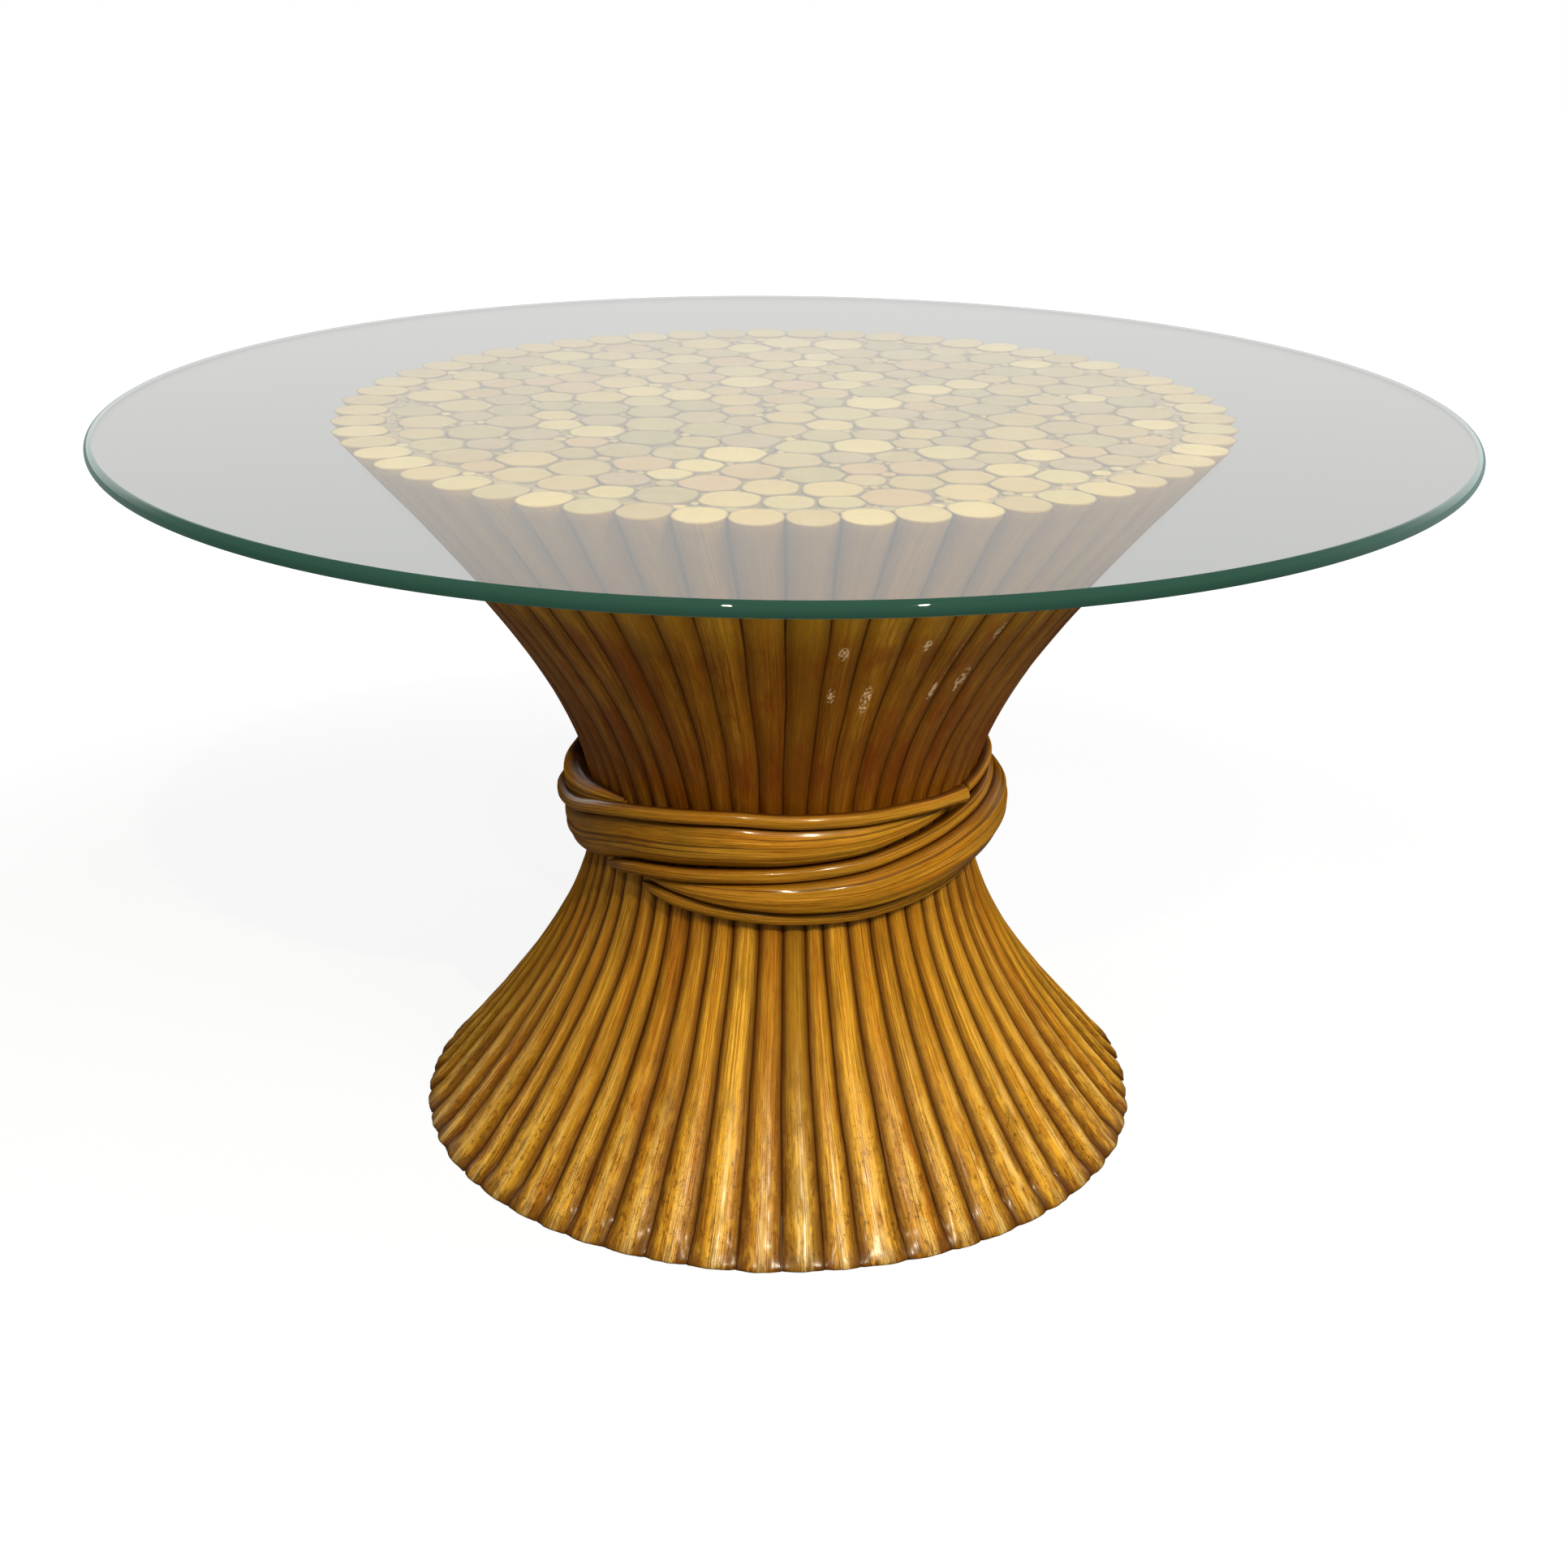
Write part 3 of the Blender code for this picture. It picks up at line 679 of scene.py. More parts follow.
# %% Tools for Geometry Nodes
def new_tree(name, sizes, extra):
    """A Geometry Nodes tree with named inputs, a wire for each of them, and a wire to start from."""
    tree = bpy.data.node_groups.new(name, "GeometryNodeTree")
    tree.interface.new_socket("Geometry", in_out="OUTPUT", socket_type="NodeSocketGeometry")
    for label, value in sizes.items():
        socket = tree.interface.new_socket(label, in_out="INPUT", socket_type="NodeSocketFloat")
        socket.default_value = value
    for label, kind in extra:
        tree.interface.new_socket(label, in_out="INPUT", socket_type=kind)
    entry = tree.nodes.new("NodeGroupInput")
    wires = {socket.name: Wire(tree, socket) for socket in entry.outputs if socket.name}
    return tree, wires, Wire(tree)


def store(geometry, name, value, kind="FLOAT", domain="POINT", where=True):
    """Keeps a value for each point, face or corner, or only for those in the mask."""
    settings = {"data_type": kind, "domain": domain}
    inputs = {"Geometry": geometry, "Selection": where, "Name": name, "Value": value}
    return geometry.node("GeometryNodeStoreNamedAttribute", settings, inputs)


def stored(root, name, kind="FLOAT"):
    return root.node("GeometryNodeInputNamedAttribute", {"data_type": kind}, {"Name": name})


print("tree tools ready")

# %% Two rods
ROD = {"Vertices": 36, "Side Segments": 84, "Fill Segments": 4, "Radius": 1, "Depth": 1}


def two_rods(net, sizes):
    """Two unit cylinders, which carry the cane's number, its kick at the foot and which faces are sawn."""
    points = net.node("GeometryNodeMeshLine", inputs={"Count": 2, "Offset": (0, 0, 0)})
    second = net.node("GeometryNodeInputIndex")
    points = store(points, "cane", second + sizes["Pair"] * 2)
    points = store(points, "kick", sizes["Kick First"] * (1 - second) + sizes["Kick Second"] * second)
    rod = net.node("GeometryNodeMeshCylinder", {"fill_type": "TRIANGLE_FAN"}, ROD)
    ends = {0: rod.other("Top"), 1: rod.other("Bottom")}
    rod = store(rod, "cut", net.node("FunctionNodeBooleanMath", {"operation": "OR"}, ends), "BOOLEAN", "FACE")
    rods = net.node("GeometryNodeInstanceOnPoints", inputs={"Points": points, "Instance": rod})
    return net.node("GeometryNodeRealizeInstances", inputs={"Geometry": rods})


print("rods with", ROD["Vertices"], "sides")

# %% Shape of a cane
RINGS_TO_ENDS = 0.80
FOOT_EASE_HEIGHT = 0.004
FOOT_EASE_SHARE = 0.05
FLAT_FOOT_UP_TO = 0.014
FLAT_FOOT_PRESS = 0.72
KICK_UP_TO = 0.13
UPPER_FROM = (0.20, 0.30)
UPPER_PRESS = 0.25
ROUND_TOP_FROM = 0.40
INNER_FULLNESS = 0.72
EVEN_TOP = 0.85
MIDDLE_LEAST = 0.001
WIDTH_LEAST = 0.0005
# Slow waves: how far apart canes lie in the noise, its pace along the cane, and where it starts
WANDER_WAVE = (7.31, 9.0, 3.1)
LEAN_WAVE = (7.31, 9.0, 31.7)
SWELL_WAVE = (3.77, 16.0, 63.1)
DENTS_ACROSS = 1.4
DENTS_APART = 11.9
DENTS_ALONG = 70.0
DENTS_FADE_BY = 0.16
DENTS_FADED = 0.6
GRAIN_APART = 0.37
CANE_SIZES = {
    "Width Jitter": 0.11,
    "Wander": 0.14,
    "Press": 0.22,
    "Lean": 0.0011,
    "Swell": 0.04,
    "Dent": 0.08,
    "Seam": 0.00003,
    "Kick First": 0.0,
    "Kick Second": 0.0,
}


def slow_wave(cane, height, apart, pace, start):
    """A slow wave along a cane, from -1 to 1."""
    return (noise(join(cane, cane * apart, height * pace, start), detail=1) - 0.5) * 2


def cane_edge(number, height, sizes):
    """The turn at which one cane ends and the next begins: evenly spaced, with jitter, wandering a little."""
    around_once = number.math("WRAP", 2.0 * CANE_PAIRS, 0.0)
    jitter = (chance(around_once, 3.3) * 2 - 1) * sizes["Width Jitter"]
    wander = slow_wave(around_once, height, *WANDER_WAVE) * sizes["Wander"]
    uneven = 1 - EVEN_TOP * ease(height, ROUND_TOP_FROM, sizes["Sheaf Height"])
    return (number + (jitter + wander) * uneven) * (2 * HALF_PITCH)


def cane_shape(net, sizes, cane):
    """Where a rod's points lie on their cane, the grain of its skin and ends, and how far out they lie."""
    x, y, z = split(net.node("GeometryNodeInputPosition"))
    share = z + 0.5
    bunched = share - (share * 2 * math.pi).math("SINE") * (RINGS_TO_ENDS / (2 * math.pi))
    height = bunched * sizes["Sheaf Height"]
    rim = (x * x + y * y) ** 0.5
    off_middle = rim.math("MAXIMUM", MIDDLE_LEAST)
    across = y / off_middle
    outside = x > 0

    # The cane's line, from the edges that it shares with its neighbours
    edges = [cane_edge(cane - 1, height, sizes), cane_edge(cane, height, sizes)]
    turn = (edges[0] + edges[1]) / 2
    slim = ((edges[1] - edges[0]) / 2).math("TANGENT")
    outer = flare(height, sizes)
    centre = outer / (1 + sizes["Cane Ovality"] * math.sin(HALF_PITCH))
    half_width = centre * slim
    half_depth = outer - centre

    # What makes it crooked
    lean = slow_wave(cane, height, *LEAN_WAVE) * sizes["Lean"] * (outer / sizes["Top Radius"])
    swell = 1 + slow_wave(cane, height, *SWELL_WAVE) * sizes["Swell"]
    skin_place = join(net, x * DENTS_ACROSS + cane * DENTS_APART, y * DENTS_ACROSS, height * DENTS_ALONG)
    calmer = 1.0 - ease(height, 0.0, DENTS_FADE_BY) * DENTS_FADED
    dent = 1 + (noise(skin_place, detail=2) - 0.5) * 2 * sizes["Dent"] * calmer
    kick = stored(net, "kick") * (1 - ease(height, 0.0, KICK_UP_TO))
    near_foot = (height / FOOT_EASE_HEIGHT).math("MINIMUM", 1.0)
    rounding = (1 - (1 - near_foot) * (1 - near_foot)) ** 0.5
    foot_ease = 1 - FOOT_EASE_SHARE + rounding * FOOT_EASE_SHARE

    # Its section: a flat arc outside, a full one inside, and seams pressed against the neighbours
    round_top = ease(height, ROUND_TOP_FROM, sizes["Sheaf Height"])
    flat_foot = 1 - ease(height, 0.0, FLAT_FOOT_UP_TO)
    upper = UPPER_PRESS * ease(height, *UPPER_FROM)
    flatter = 1 + (sizes["Press"] + upper) * (1 - round_top) + FLAT_FOOT_PRESS * flat_foot
    arc = (1 - (across / flatter) * (across / flatter)) ** 0.5
    seam_depth = (1 - 1 / (flatter * flatter)).math("MAXIMUM", 0.0) ** 0.5
    inner = seam_depth - (1 + seam_depth) * (abs(x) / off_middle) ** INNER_FULLNESS
    depth = (inner + outside * (arc - inner)) * rim
    out = centre + lean + kick + half_depth * depth * swell * dent * foot_ease
    limit = (out * slim - sizes["Seam"]).math("MAXIMUM", WIDTH_LEAST)
    free = half_width * swell
    wide = (free + (limit - free) * (1 - round_top)).math("MINIMUM", limit)
    squarer = y.math("SIGN") * abs(across) ** INNER_FULLNESS
    side = (squarer + outside * (across - squarer)) * wide * rim
    sine = turn.math("SINE")
    cosine = turn.math("COSINE")
    spot = join(net, sine * out + cosine * side, sine * side - cosine * out, height)

    round_back = y.math("SIGN") * (2 - abs(across))
    skin_grain = join(net, round_back + outside * (across - round_back), height, cane)
    end_grain = join(net, half_depth * x, half_width * y, cane * GRAIN_APART)
    return spot, skin_grain, end_grain, rim


print(len(CANE_SIZES), "sizes of a cane")

# %% Tree of one cane pair
RING_TINTS = 0.5


def cane_pair_tree():
    extra = (("Pair", "NodeSocketFloat"), ("Skin", "NodeSocketMaterial"), ("Sawn", "NodeSocketMaterial"))
    tree, sizes, net = new_tree("cane_pair", {**SHEAF, **CANE_SIZES}, extra)
    cane = stored(net, "cane")
    spot, skin_grain, end_grain, rim = cane_shape(net, sizes, cane)
    cap = stored(net, "cut", "BOOLEAN")
    rods = store(two_rods(net, sizes), "grain", skin_grain, "FLOAT_VECTOR", "CORNER")
    rods = store(rods, "rim", rim)
    rods = store(rods, "tint", chance(cane, 7.7) * RING_TINTS)
    rods = store(rods, "grain", end_grain, "FLOAT_VECTOR", "CORNER", cap)
    steps = (
        ("SetPosition", {"Position": spot}),
        ("SetShadeSmooth", {"Shade Smooth": True}),
        ("SetShadeSmooth", {"Selection": cap, "Shade Smooth": False}),
        ("SetMaterial", {"Material": sizes["Skin"]}),
        ("SetMaterial", {"Selection": cap, "Material": sizes["Sawn"]}),
    )
    for kind, inputs in steps:
        rods = net.node(f"GeometryNode{kind}", inputs={"Geometry": rods, **inputs})
    tree.links.new(rods.socket, tree.nodes.new("NodeGroupOutput").inputs[0])
    return tree


pair_tree = cane_pair_tree()
print("tree", pair_tree.name, "with", len(pair_tree.nodes), "nodes")

# %% The cane pairs
FOOT_KICK = {15: 0.001, 16: 0.0035, 17: 0.0055, 18: -0.0045, 19: -0.0035}


def grow(name, tree, values):
    """Runs a tree once with these inputs, and keeps its result as a plain mesh."""
    piece = add_piece(name, bpy.data.meshes.new(name))
    modifier = piece.modifiers.new(name, "NODES")
    modifier.node_group = tree
    for item in tree.interface.items_tree:
        if item.in_out == "INPUT" and item.name in values:
            modifier[item.identifier] = values[item.name]
    graph = bpy.context.evaluated_depsgraph_get()
    grown = piece.evaluated_get(graph)
    mesh = bpy.data.meshes.new_from_object(grown, preserve_all_data_layers=True, depsgraph=graph)
    piece.modifiers.remove(modifier)
    piece.data = mesh
    return piece


cane_pieces = {}
for pair in range(CANE_PAIRS):
    values = {"Pair": float(pair), "Skin": cane_skin, "Sawn": sawn}
    values["Kick First"] = FOOT_KICK.get(2 * pair, 0.0)
    values["Kick Second"] = FOOT_KICK.get(2 * pair + 1, 0.0)
    cane_pieces[f"cane_pair_{pair + 1:02d}"] = grow(f"sheaf_canes_{pair + 1:02d}", pair_tree, values)
print(len(cane_pieces), "cane pairs,", sum(len(p.data.polygons) for p in cane_pieces.values()), "faces")

# %% [markdown]
# ## The mosaic of cane ends
# Inside the ring of canes the top is paved with sawn slices, glued down and packed close, with slivers in the
# larger gaps, a dark bed between that is glue with painted shade, and pale filler towards the ring. The
# places come from the same packing as the panel in the frame: circles of mixed sizes that push each other
# apart. Real slices are not quite round, so each one swells until it meets the line half way to its
# neighbour, and is cut flat there. The outermost ones run a little under the ring.

# %% Packing the ends
END_RADIUS_LEAST = 0.0130
END_RADIUS_MOST = 0.0205
END_GROOVE = 0.0012
END_FILL = 0.86
END_SEED = 11
PACKING_STEPS = 400
PACKING_PUSH = 0.35
PANEL_SEGMENTS = 56
panel_low, panel_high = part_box("cane_end_panel")
panel_reach = panel_high.x * math.cos(math.pi / PANEL_SEGMENTS)


def packed_ends(reach):
    """Centres and radii of cane ends of mixed sizes, packed into a circle by pushing overlaps apart."""
    draw = np.random.default_rng(END_SEED)
    mean_square = (END_RADIUS_MOST ** 3 - END_RADIUS_LEAST ** 3) / 3 / (END_RADIUS_MOST - END_RADIUS_LEAST)
    count = int(END_FILL * reach ** 2 / mean_square)
    sizes = draw.uniform(END_RADIUS_LEAST, END_RADIUS_MOST, count)
    golden = math.pi * (3 - math.sqrt(5))
    index = np.arange(count)
    away = reach * np.sqrt((index + 0.5) / count)
    centres = np.stack([away * np.cos(index * golden), away * np.sin(index * golden)], 1)
    for _ in range(PACKING_STEPS):
        apart = centres[:, None] - centres[None]
        distance = np.linalg.norm(apart, axis=2) + np.eye(count)
        overlap = np.maximum(sizes[:, None] + sizes[None] - distance, 0) * (1 - np.eye(count))
        centres += PACKING_PUSH * (apart / distance[:, :, None] * overlap[:, :, None]).sum(1)
        radial = np.linalg.norm(centres, axis=1)
        inside = np.minimum(1, (reach - sizes) / np.maximum(radial, 1e-9))
        centres *= inside[:, None]
    return centres, sizes


centres, sizes = packed_ends(panel_reach)
print(len(centres), "cane ends inside the ring")

# %% Outlines of the slices
SLICE_SIDES = 28
SLICE_SWELL = 1.04
SLICE_WAVER = 0.028
THREE_LOBES = 0.6
SLICE_LEAST = 0.001
FACING_LEAST = 0.05
NEIGHBOURS_WITHIN = 4 * END_RADIUS_MOST
RING_OVERLAP = 0.0035
LOOK_SEED = 5
directions = np.linspace(0, 2 * math.pi, SLICE_SIDES, endpoint=False)
aim = np.stack([np.cos(directions), np.sin(directions)], 1)
look_draw = np.random.default_rng(LOOK_SEED)


def outline_reach(centre, size, others, other_sizes):
    """How far a slice reaches in each direction before it meets a neighbour or the ring of canes."""
    phase = look_draw.uniform(0, 2 * math.pi, 2)
    wave = np.sin(2 * directions + phase[0]) + THREE_LOBES * np.sin(3 * directions + phase[1])
    reach = size * SLICE_SWELL * (1 + SLICE_WAVER * wave)
    apart = others - centre
    distance = np.linalg.norm(apart, axis=1)
    near = (distance > 0) & (distance < NEIGHBOURS_WITHIN)
    toward = apart[near] / distance[near, None]
    halfway = (distance[near] ** 2 + size ** 2 - other_sizes[near] ** 2) / (2 * distance[near])
    facing = aim @ toward.T
    cut = (halfway - END_GROOVE / 2) / np.maximum(facing, FACING_LEAST)
    reach = np.minimum(reach, np.where(facing > FACING_LEAST, cut, np.inf).min(1))
    along = aim @ centre
    edge = panel_reach + RING_OVERLAP
    to_ring = -along + np.sqrt(np.maximum(along ** 2 - centre @ centre + edge ** 2, 0))
    reach = np.minimum(reach, to_ring)
    rounded = (np.roll(reach, 1) + 2 * reach + np.roll(reach, -1)) / 4
    return np.maximum(np.minimum(reach, rounded), SLICE_LEAST)


slice_reaches = [outline_reach(c, s, centres, sizes) for c, s in zip(centres, sizes)]
print("slices from", round(2000 * min(r.mean() for r in slice_reaches)), "to",
      round(2000 * max(r.mean() for r in slice_reaches)), "mm across")

# %% Slivers in the gaps
SLIVER_TRIES = 14000
SLIVER_LEAST = 0.0018
SLIVER_MOST = 0.0065
SLIVERS = 300
RING_SLIVER = 0.0046
RING_SLIVER_SPREAD = (0.75, 1.05)


def gap_slivers():
    """Small round slivers in the largest gaps that the slices leave."""
    edges = np.concatenate([c + aim * r[:, None] for c, r in zip(centres, slice_reaches)])
    radial = panel_reach * np.sqrt(look_draw.uniform(0, 1, SLIVER_TRIES))
    round_turn = look_draw.uniform(0, 2 * math.pi, SLIVER_TRIES)
    spots = np.stack([radial * np.cos(round_turn), radial * np.sin(round_turn)], 1)
    to_centre = np.linalg.norm(spots[:, None] - centres[None], axis=2)
    mean_reach = np.array([r.mean() for r in slice_reaches])
    spots = spots[(to_centre > mean_reach[None]).all(1)]
    free = np.linalg.norm(spots[:, None] - edges[None], axis=2).min(1) - END_GROOVE / 2
    free = np.minimum(free, panel_reach - np.linalg.norm(spots, axis=1))
    chosen = []
    for k in np.argsort(-free):
        size = min(free[k], SLIVER_MOST)
        clear = all(np.linalg.norm(spots[k] - spot) > size + other for spot, other in chosen)
        if size > SLIVER_LEAST and clear and len(chosen) < SLIVERS:
            chosen.append((spots[k], size))
    return chosen


def ring_slivers():
    """Slivers in the wedges between the canes of the ring, against the paving."""
    turns = 2 * HALF_PITCH * np.arange(2 * CANE_PAIRS)
    sizes = RING_SLIVER * look_draw.uniform(*RING_SLIVER_SPREAD, len(turns))
    away = panel_reach + sizes
    return [(r * np.array((math.sin(t), -math.cos(t))), s) for t, r, s in zip(turns, away, sizes)]


slivers = gap_slivers() + ring_slivers()
print(len(slivers), "slivers")

# %% Meshes from rings of points
def wall_faces(first, rings, sides):
    """Quads between rings of points that follow each other in a mesh, with this many sides each."""
    faces = []
    for low in range(first, first + (rings - 1) * sides, sides):
        for i in range(sides):
            j = (i + 1) % sides
            faces.append((low + i, low + j, low + sides + j, low + sides + i))
    return faces


def closed_faces(first, rings, sides):
    """The walls between rings of points, with a face across the first and the last of them."""
    last = first + (rings - 1) * sides
    bottom = tuple(reversed(range(first, first + sides)))
    return [bottom] + wall_faces(first, rings, sides) + [tuple(range(last, last + sides))]


def keep(mesh, name, values, kind="FLOAT"):
    """Stores one value for each point of a mesh."""
    field = mesh.attributes.new(name, kind, "POINT")
    field.data.foreach_set("vector" if kind == "FLOAT_VECTOR" else "value", np.array(values, float).ravel())


print("mesh helpers ready")

# %% The paving
END_STAND = 0.0018
SLICE_EASE = 0.0005
SLICE_DIP = 0.0006
SLICE_SUNK = 0.0002
SKIN_RING = 0.90
INNER_RING = 0.5
BED_SEGMENTS = 112
BED_FOOT_INSET = 0.010
RING_FILL = 0.0009
FILL_INSET = 0.001
BED_INSET = 0.004
GLUE_AND_SHADE = (0.13, 0.092, 0.040)
FILLER = (0.46, 0.35, 0.17)
FILLER_EDGE = (0.006, 0.001)


def glue_and_shade_bed(name):
    material, root, shader = new_finish(name)
    spot = object_place(root)
    cloud = noise(spot, 160, detail=3)
    filled = ease(length(stretch(spot, 1, 1, 0)), *(panel_reach - inset for inset in FILLER_EDGE))
    lay(root, shader, {
        # Dark glue with painted shade between the slices, paler filler towards the ring
        "Base Color": blend(ease(cloud, 0.35, 0.7) * 0.6 + filled * 0.4, GLUE_AND_SHADE, FILLER),
        "Roughness": 0.6 + cloud * 0.3,
        "Normal": bump(root, cloud, 0.0008, 0.5),
    })
    return material


def slice_profile(mean, top):
    """The rings of one slice from its foot to its middle: how far out they lie, and their height."""
    low = panel_high.z - END_STAND
    eased = 1 - SLICE_EASE / mean
    return (1.0, low), (1.0, top - SLICE_EASE), (eased, top), (SKIN_RING, top), (INNER_RING, top)


def bed_points():
    """The backing disc under the slices, flared like the canes round it."""
    fill_top = panel_high.z - RING_FILL
    rings = (
        (panel_low.z, panel_reach - BED_FOOT_INSET),
        (fill_top, panel_reach + 2 * RING_SLIVER),
        (fill_top, panel_reach - FILL_INSET),
        (panel_high.z - END_STAND, panel_reach - BED_INSET),
    )
    turns = np.linspace(0, 2 * math.pi, BED_SEGMENTS, endpoint=False)
    return [(r * math.cos(t), r * math.sin(t), z) for z, r in rings for t in turns]


def paving_mesh(name):
    points, faces, rims, tints, grains = [], [], [], [], []
    ends = list(zip(centres, slice_reaches)) + [(spot, np.full(SLICE_SIDES, size)) for spot, size in slivers]
    for number, (centre, reach) in enumerate(ends):
        first = len(points)
        tint = look_draw.uniform()
        spin = look_draw.uniform(0, 2 * math.pi)
        top = panel_high.z - SLICE_SUNK - look_draw.uniform(0, SLICE_DIP)
        turn = np.array(((math.cos(spin), -math.sin(spin)), (math.sin(spin), math.cos(spin))))
        profile = slice_profile(reach.mean(), top)
        for share, height in profile:
            flat = centre + aim * reach[:, None] * share
            points.extend(np.column_stack([flat, np.full(SLICE_SIDES, height)]))
            rims.extend([share] * SLICE_SIDES)
        points.append(np.array((*centre, top)))
        rims.append(0.0)
        local = (np.array(points[first:])[:, :2] - centre) @ turn.T
        grains.extend(np.column_stack([local, np.full(len(local), number * GRAIN_APART)]))
        tints.extend([tint] * len(local))
        faces += wall_faces(first, len(profile), SLICE_SIDES)
        inner = first + (len(profile) - 1) * SLICE_SIDES
        middle = len(points) - 1
        faces += [(inner + i, inner + (i + 1) % SLICE_SIDES, middle) for i in range(SLICE_SIDES)]
    bed = bed_points()
    bed_faces = closed_faces(len(points), len(bed) // BED_SEGMENTS, BED_SEGMENTS)
    mesh = mesh_from(name, points + bed, faces + bed_faces)
    mesh.polygons.foreach_set("material_index", [0] * len(faces) + [1] * len(bed_faces))
    keep(mesh, "rim", rims + [0.0] * len(bed))
    keep(mesh, "tint", tints + [0.0] * len(bed))
    keep(mesh, "grain", grains + [np.zeros(3)] * len(bed), "FLOAT_VECTOR")
    return mesh


paving = add_piece("cane_end_paving", paving_mesh("cane_end_paving"), sawn, glue_and_shade_bed("dark_glue_and_shade"))
print("paving with", len(paving.data.polygons), "faces")

# %% [markdown]
# ## The tie
# A broad split cane is wound round the waist and laps over itself at the front, with a thin cane along each
# edge of it and one more strand that closes the ring behind. The route is a helix whose rise was read off
# the photo point by point, so it stays a list. The lists are nearly the frame's, a few millimetres fuller at
# the left. Each strand is lofted with many more sections than the frame's solid has, and carries the same
# grain attribute as the canes.

# %% Route of the tie
TIE_UNIT = 0.001
TIE_CANE_RADIUS = 0.005
WRAP_START = -42.0
WRAP_LAP = WRAP_START + 360
BAND_END = 418.0
LOWER_CANE_END = 250.0
UPPER_CANE_START = 301.0
UPPER_CANE_END = 775.0
HELIX_RISE = ((-42, -21.5), (-11, -27.0), (5, -28.5), (20, -28.5), (33, -26.5), (60, -20.5), (84, -16.5),
              (130, -19.0), (180, -23.0), (230, -28.0), (276, -32.0), (292, -26.5), (309, -14.5))
BAND_HALF_HEIGHT = ((-42, 1.2), (-30, 4.8), (-12, 9.3), (2, 11.3), (20, 13.2), (36, 15.5), (50, 17.0),
                    (60, 17.8), (84, 18.8), (180, 19.0), (250, 18.0), (276, 17.5), (300, 17.5), (320, 17.2),
                    (333, 16.8), (348, 15.8), (360, 14.0), (380, 11.4), (392, 8.8), (405, 4.8), (418, 1.2))
BAND_DEPTH = ((-42, 4.0), (-30, 11.0), (-12, 18.0), (20, 23.5), (84, 26.0), (180, 24.0), (250, 18.5),
              (276, 17.0), (310, 17.0), (340, 19.0), (380, 16.0), (405, 9.0), (418, 3.5))
# Outward lean of the band's section, a share of its height, and how far a thin cane stands off the sheaf
# where it rides on the band
BAND_LEAN = ((-42, 0), (84, 0.1), (180, 0.1), (250, 0.15), (276, 0.2), (310, 0.25), (340, 0.2), (360, 0.1),
             (418, 0))
CANE_STAND = ((-42, 0), (306, 0), (320, 4), (345, 8), (390, 8), (420, 6), (445, 2), (480, 0), (600, 1),
              (618, 7), (634, 14), (672, 12), (700, 7), (720, 4), (779, 3))
# The top strand closes the ring behind, above the upper cane, and tucks in behind it at the left
TOP_STRAND_START = 62.0
TOP_STRAND_END = 312.0
TOP_STRAND_HALF_HEIGHT = ((62, 3.6), (90, 4.5), (180, 6.0), (255, 8.5), (276, 10.5), (296, 8.0), (312, 2.4))
TOP_STRAND_DEPTH = ((62, 7.0), (90, 8.5), (180, 10.0), (250, 13.0), (268, 18.0), (276, 18.0), (284, 16.0),
                    (296, 12.0), (312, 5.0))
TOP_STRAND_LIFT = ((62, 0), (90, 0), (135, 2), (180, 5), (225, 4), (250, 1), (270, -5), (284, -7), (296, -7),
                   (312, -6.5))
TIP_DEGREES = 14.0
TIP_SHARE = 0.35


def smooth(points, at):
    """A smooth curve through (position, value) points that never swings past them."""
    x = np.array([p[0] for p in points], float)
    y = np.array([p[1] for p in points], float)
    slope = np.diff(y) / np.diff(x)
    tangent = np.zeros(len(x))
    rising = slope[:-1] * slope[1:] > 0
    inner = np.where(rising, 2 * slope[:-1] * slope[1:] / (slope[:-1] + slope[1:] + 1e-18), 0)
    tangent[1:-1] = inner
    tangent[0], tangent[-1] = slope[0], slope[-1]
    k = int(np.clip(np.searchsorted(x, at) - 1, 0, len(x) - 2))
    span = x[k + 1] - x[k]
    t = float(np.clip((at - x[k]) / span, 0, 1))
    hold, leave = 1 - t * t * (3 - 2 * t), t * t * (3 - 2 * t)
    bend_in, bend_out = t * (1 - t) ** 2, t * t * (t - 1)
    return hold * y[k] + leave * y[k + 1] + span * (bend_in * tangent[k] + bend_out * tangent[k + 1])


def tie_size(points, turn):
    return TIE_UNIT * smooth(points, turn)


def half_height(turn):
    return tie_size(BAND_HALF_HEIGHT, turn)


def helix_step(turn):
    """Rise of the thin canes' helix over the full turn that starts here, with the band between."""
    return 2 * (half_height(turn) + TIE_CANE_RADIUS + CLEARANCE)


def helix(turn):
    """Height of the thin canes' centre line."""
    if turn >= WRAP_LAP:
        return helix(turn - 360) + helix_step(turn - 360)
    lap = HELIX_RISE[0][1] + helix_step(WRAP_START) / TIE_UNIT
    return SHEAF["Waist Height"] + tie_size(HELIX_RISE + ((WRAP_LAP, lap),), turn)


print("the helix rises from", round(helix(WRAP_START), 4), "to", round(helix(UPPER_CANE_END), 4), "m")

# %% Lofting a strand
TIE_STEP_DEGREES = 2.5
SEAT_SAMPLES = 13
SPLAY = 0.25
SPLAY_DEGREES = 9.0
SHARP_DEGREES = 50
# Two sets of fine ridges round a strand's section, which drift as they run along it
RIDGES = 8
SECOND_RIDGES = 13
SECOND_SHARE = 0.7
SECOND_DRIFT = 1.6
DRIFT = 2.2
DRIFT_PACE = 1.7


def seat(height, half_tall, half_deep, lean=0.0):
    """Radius at which an oval strand of this size rests on the canes."""
    reach = []
    for share in np.linspace(-1, 1, SEAT_SAMPLES):
        bulge = half_deep * math.sqrt(1 - share * share) - lean * share * half_tall
        reach.append(flare(height + share * half_tall, SHEAF) + bulge)
    return max(reach)


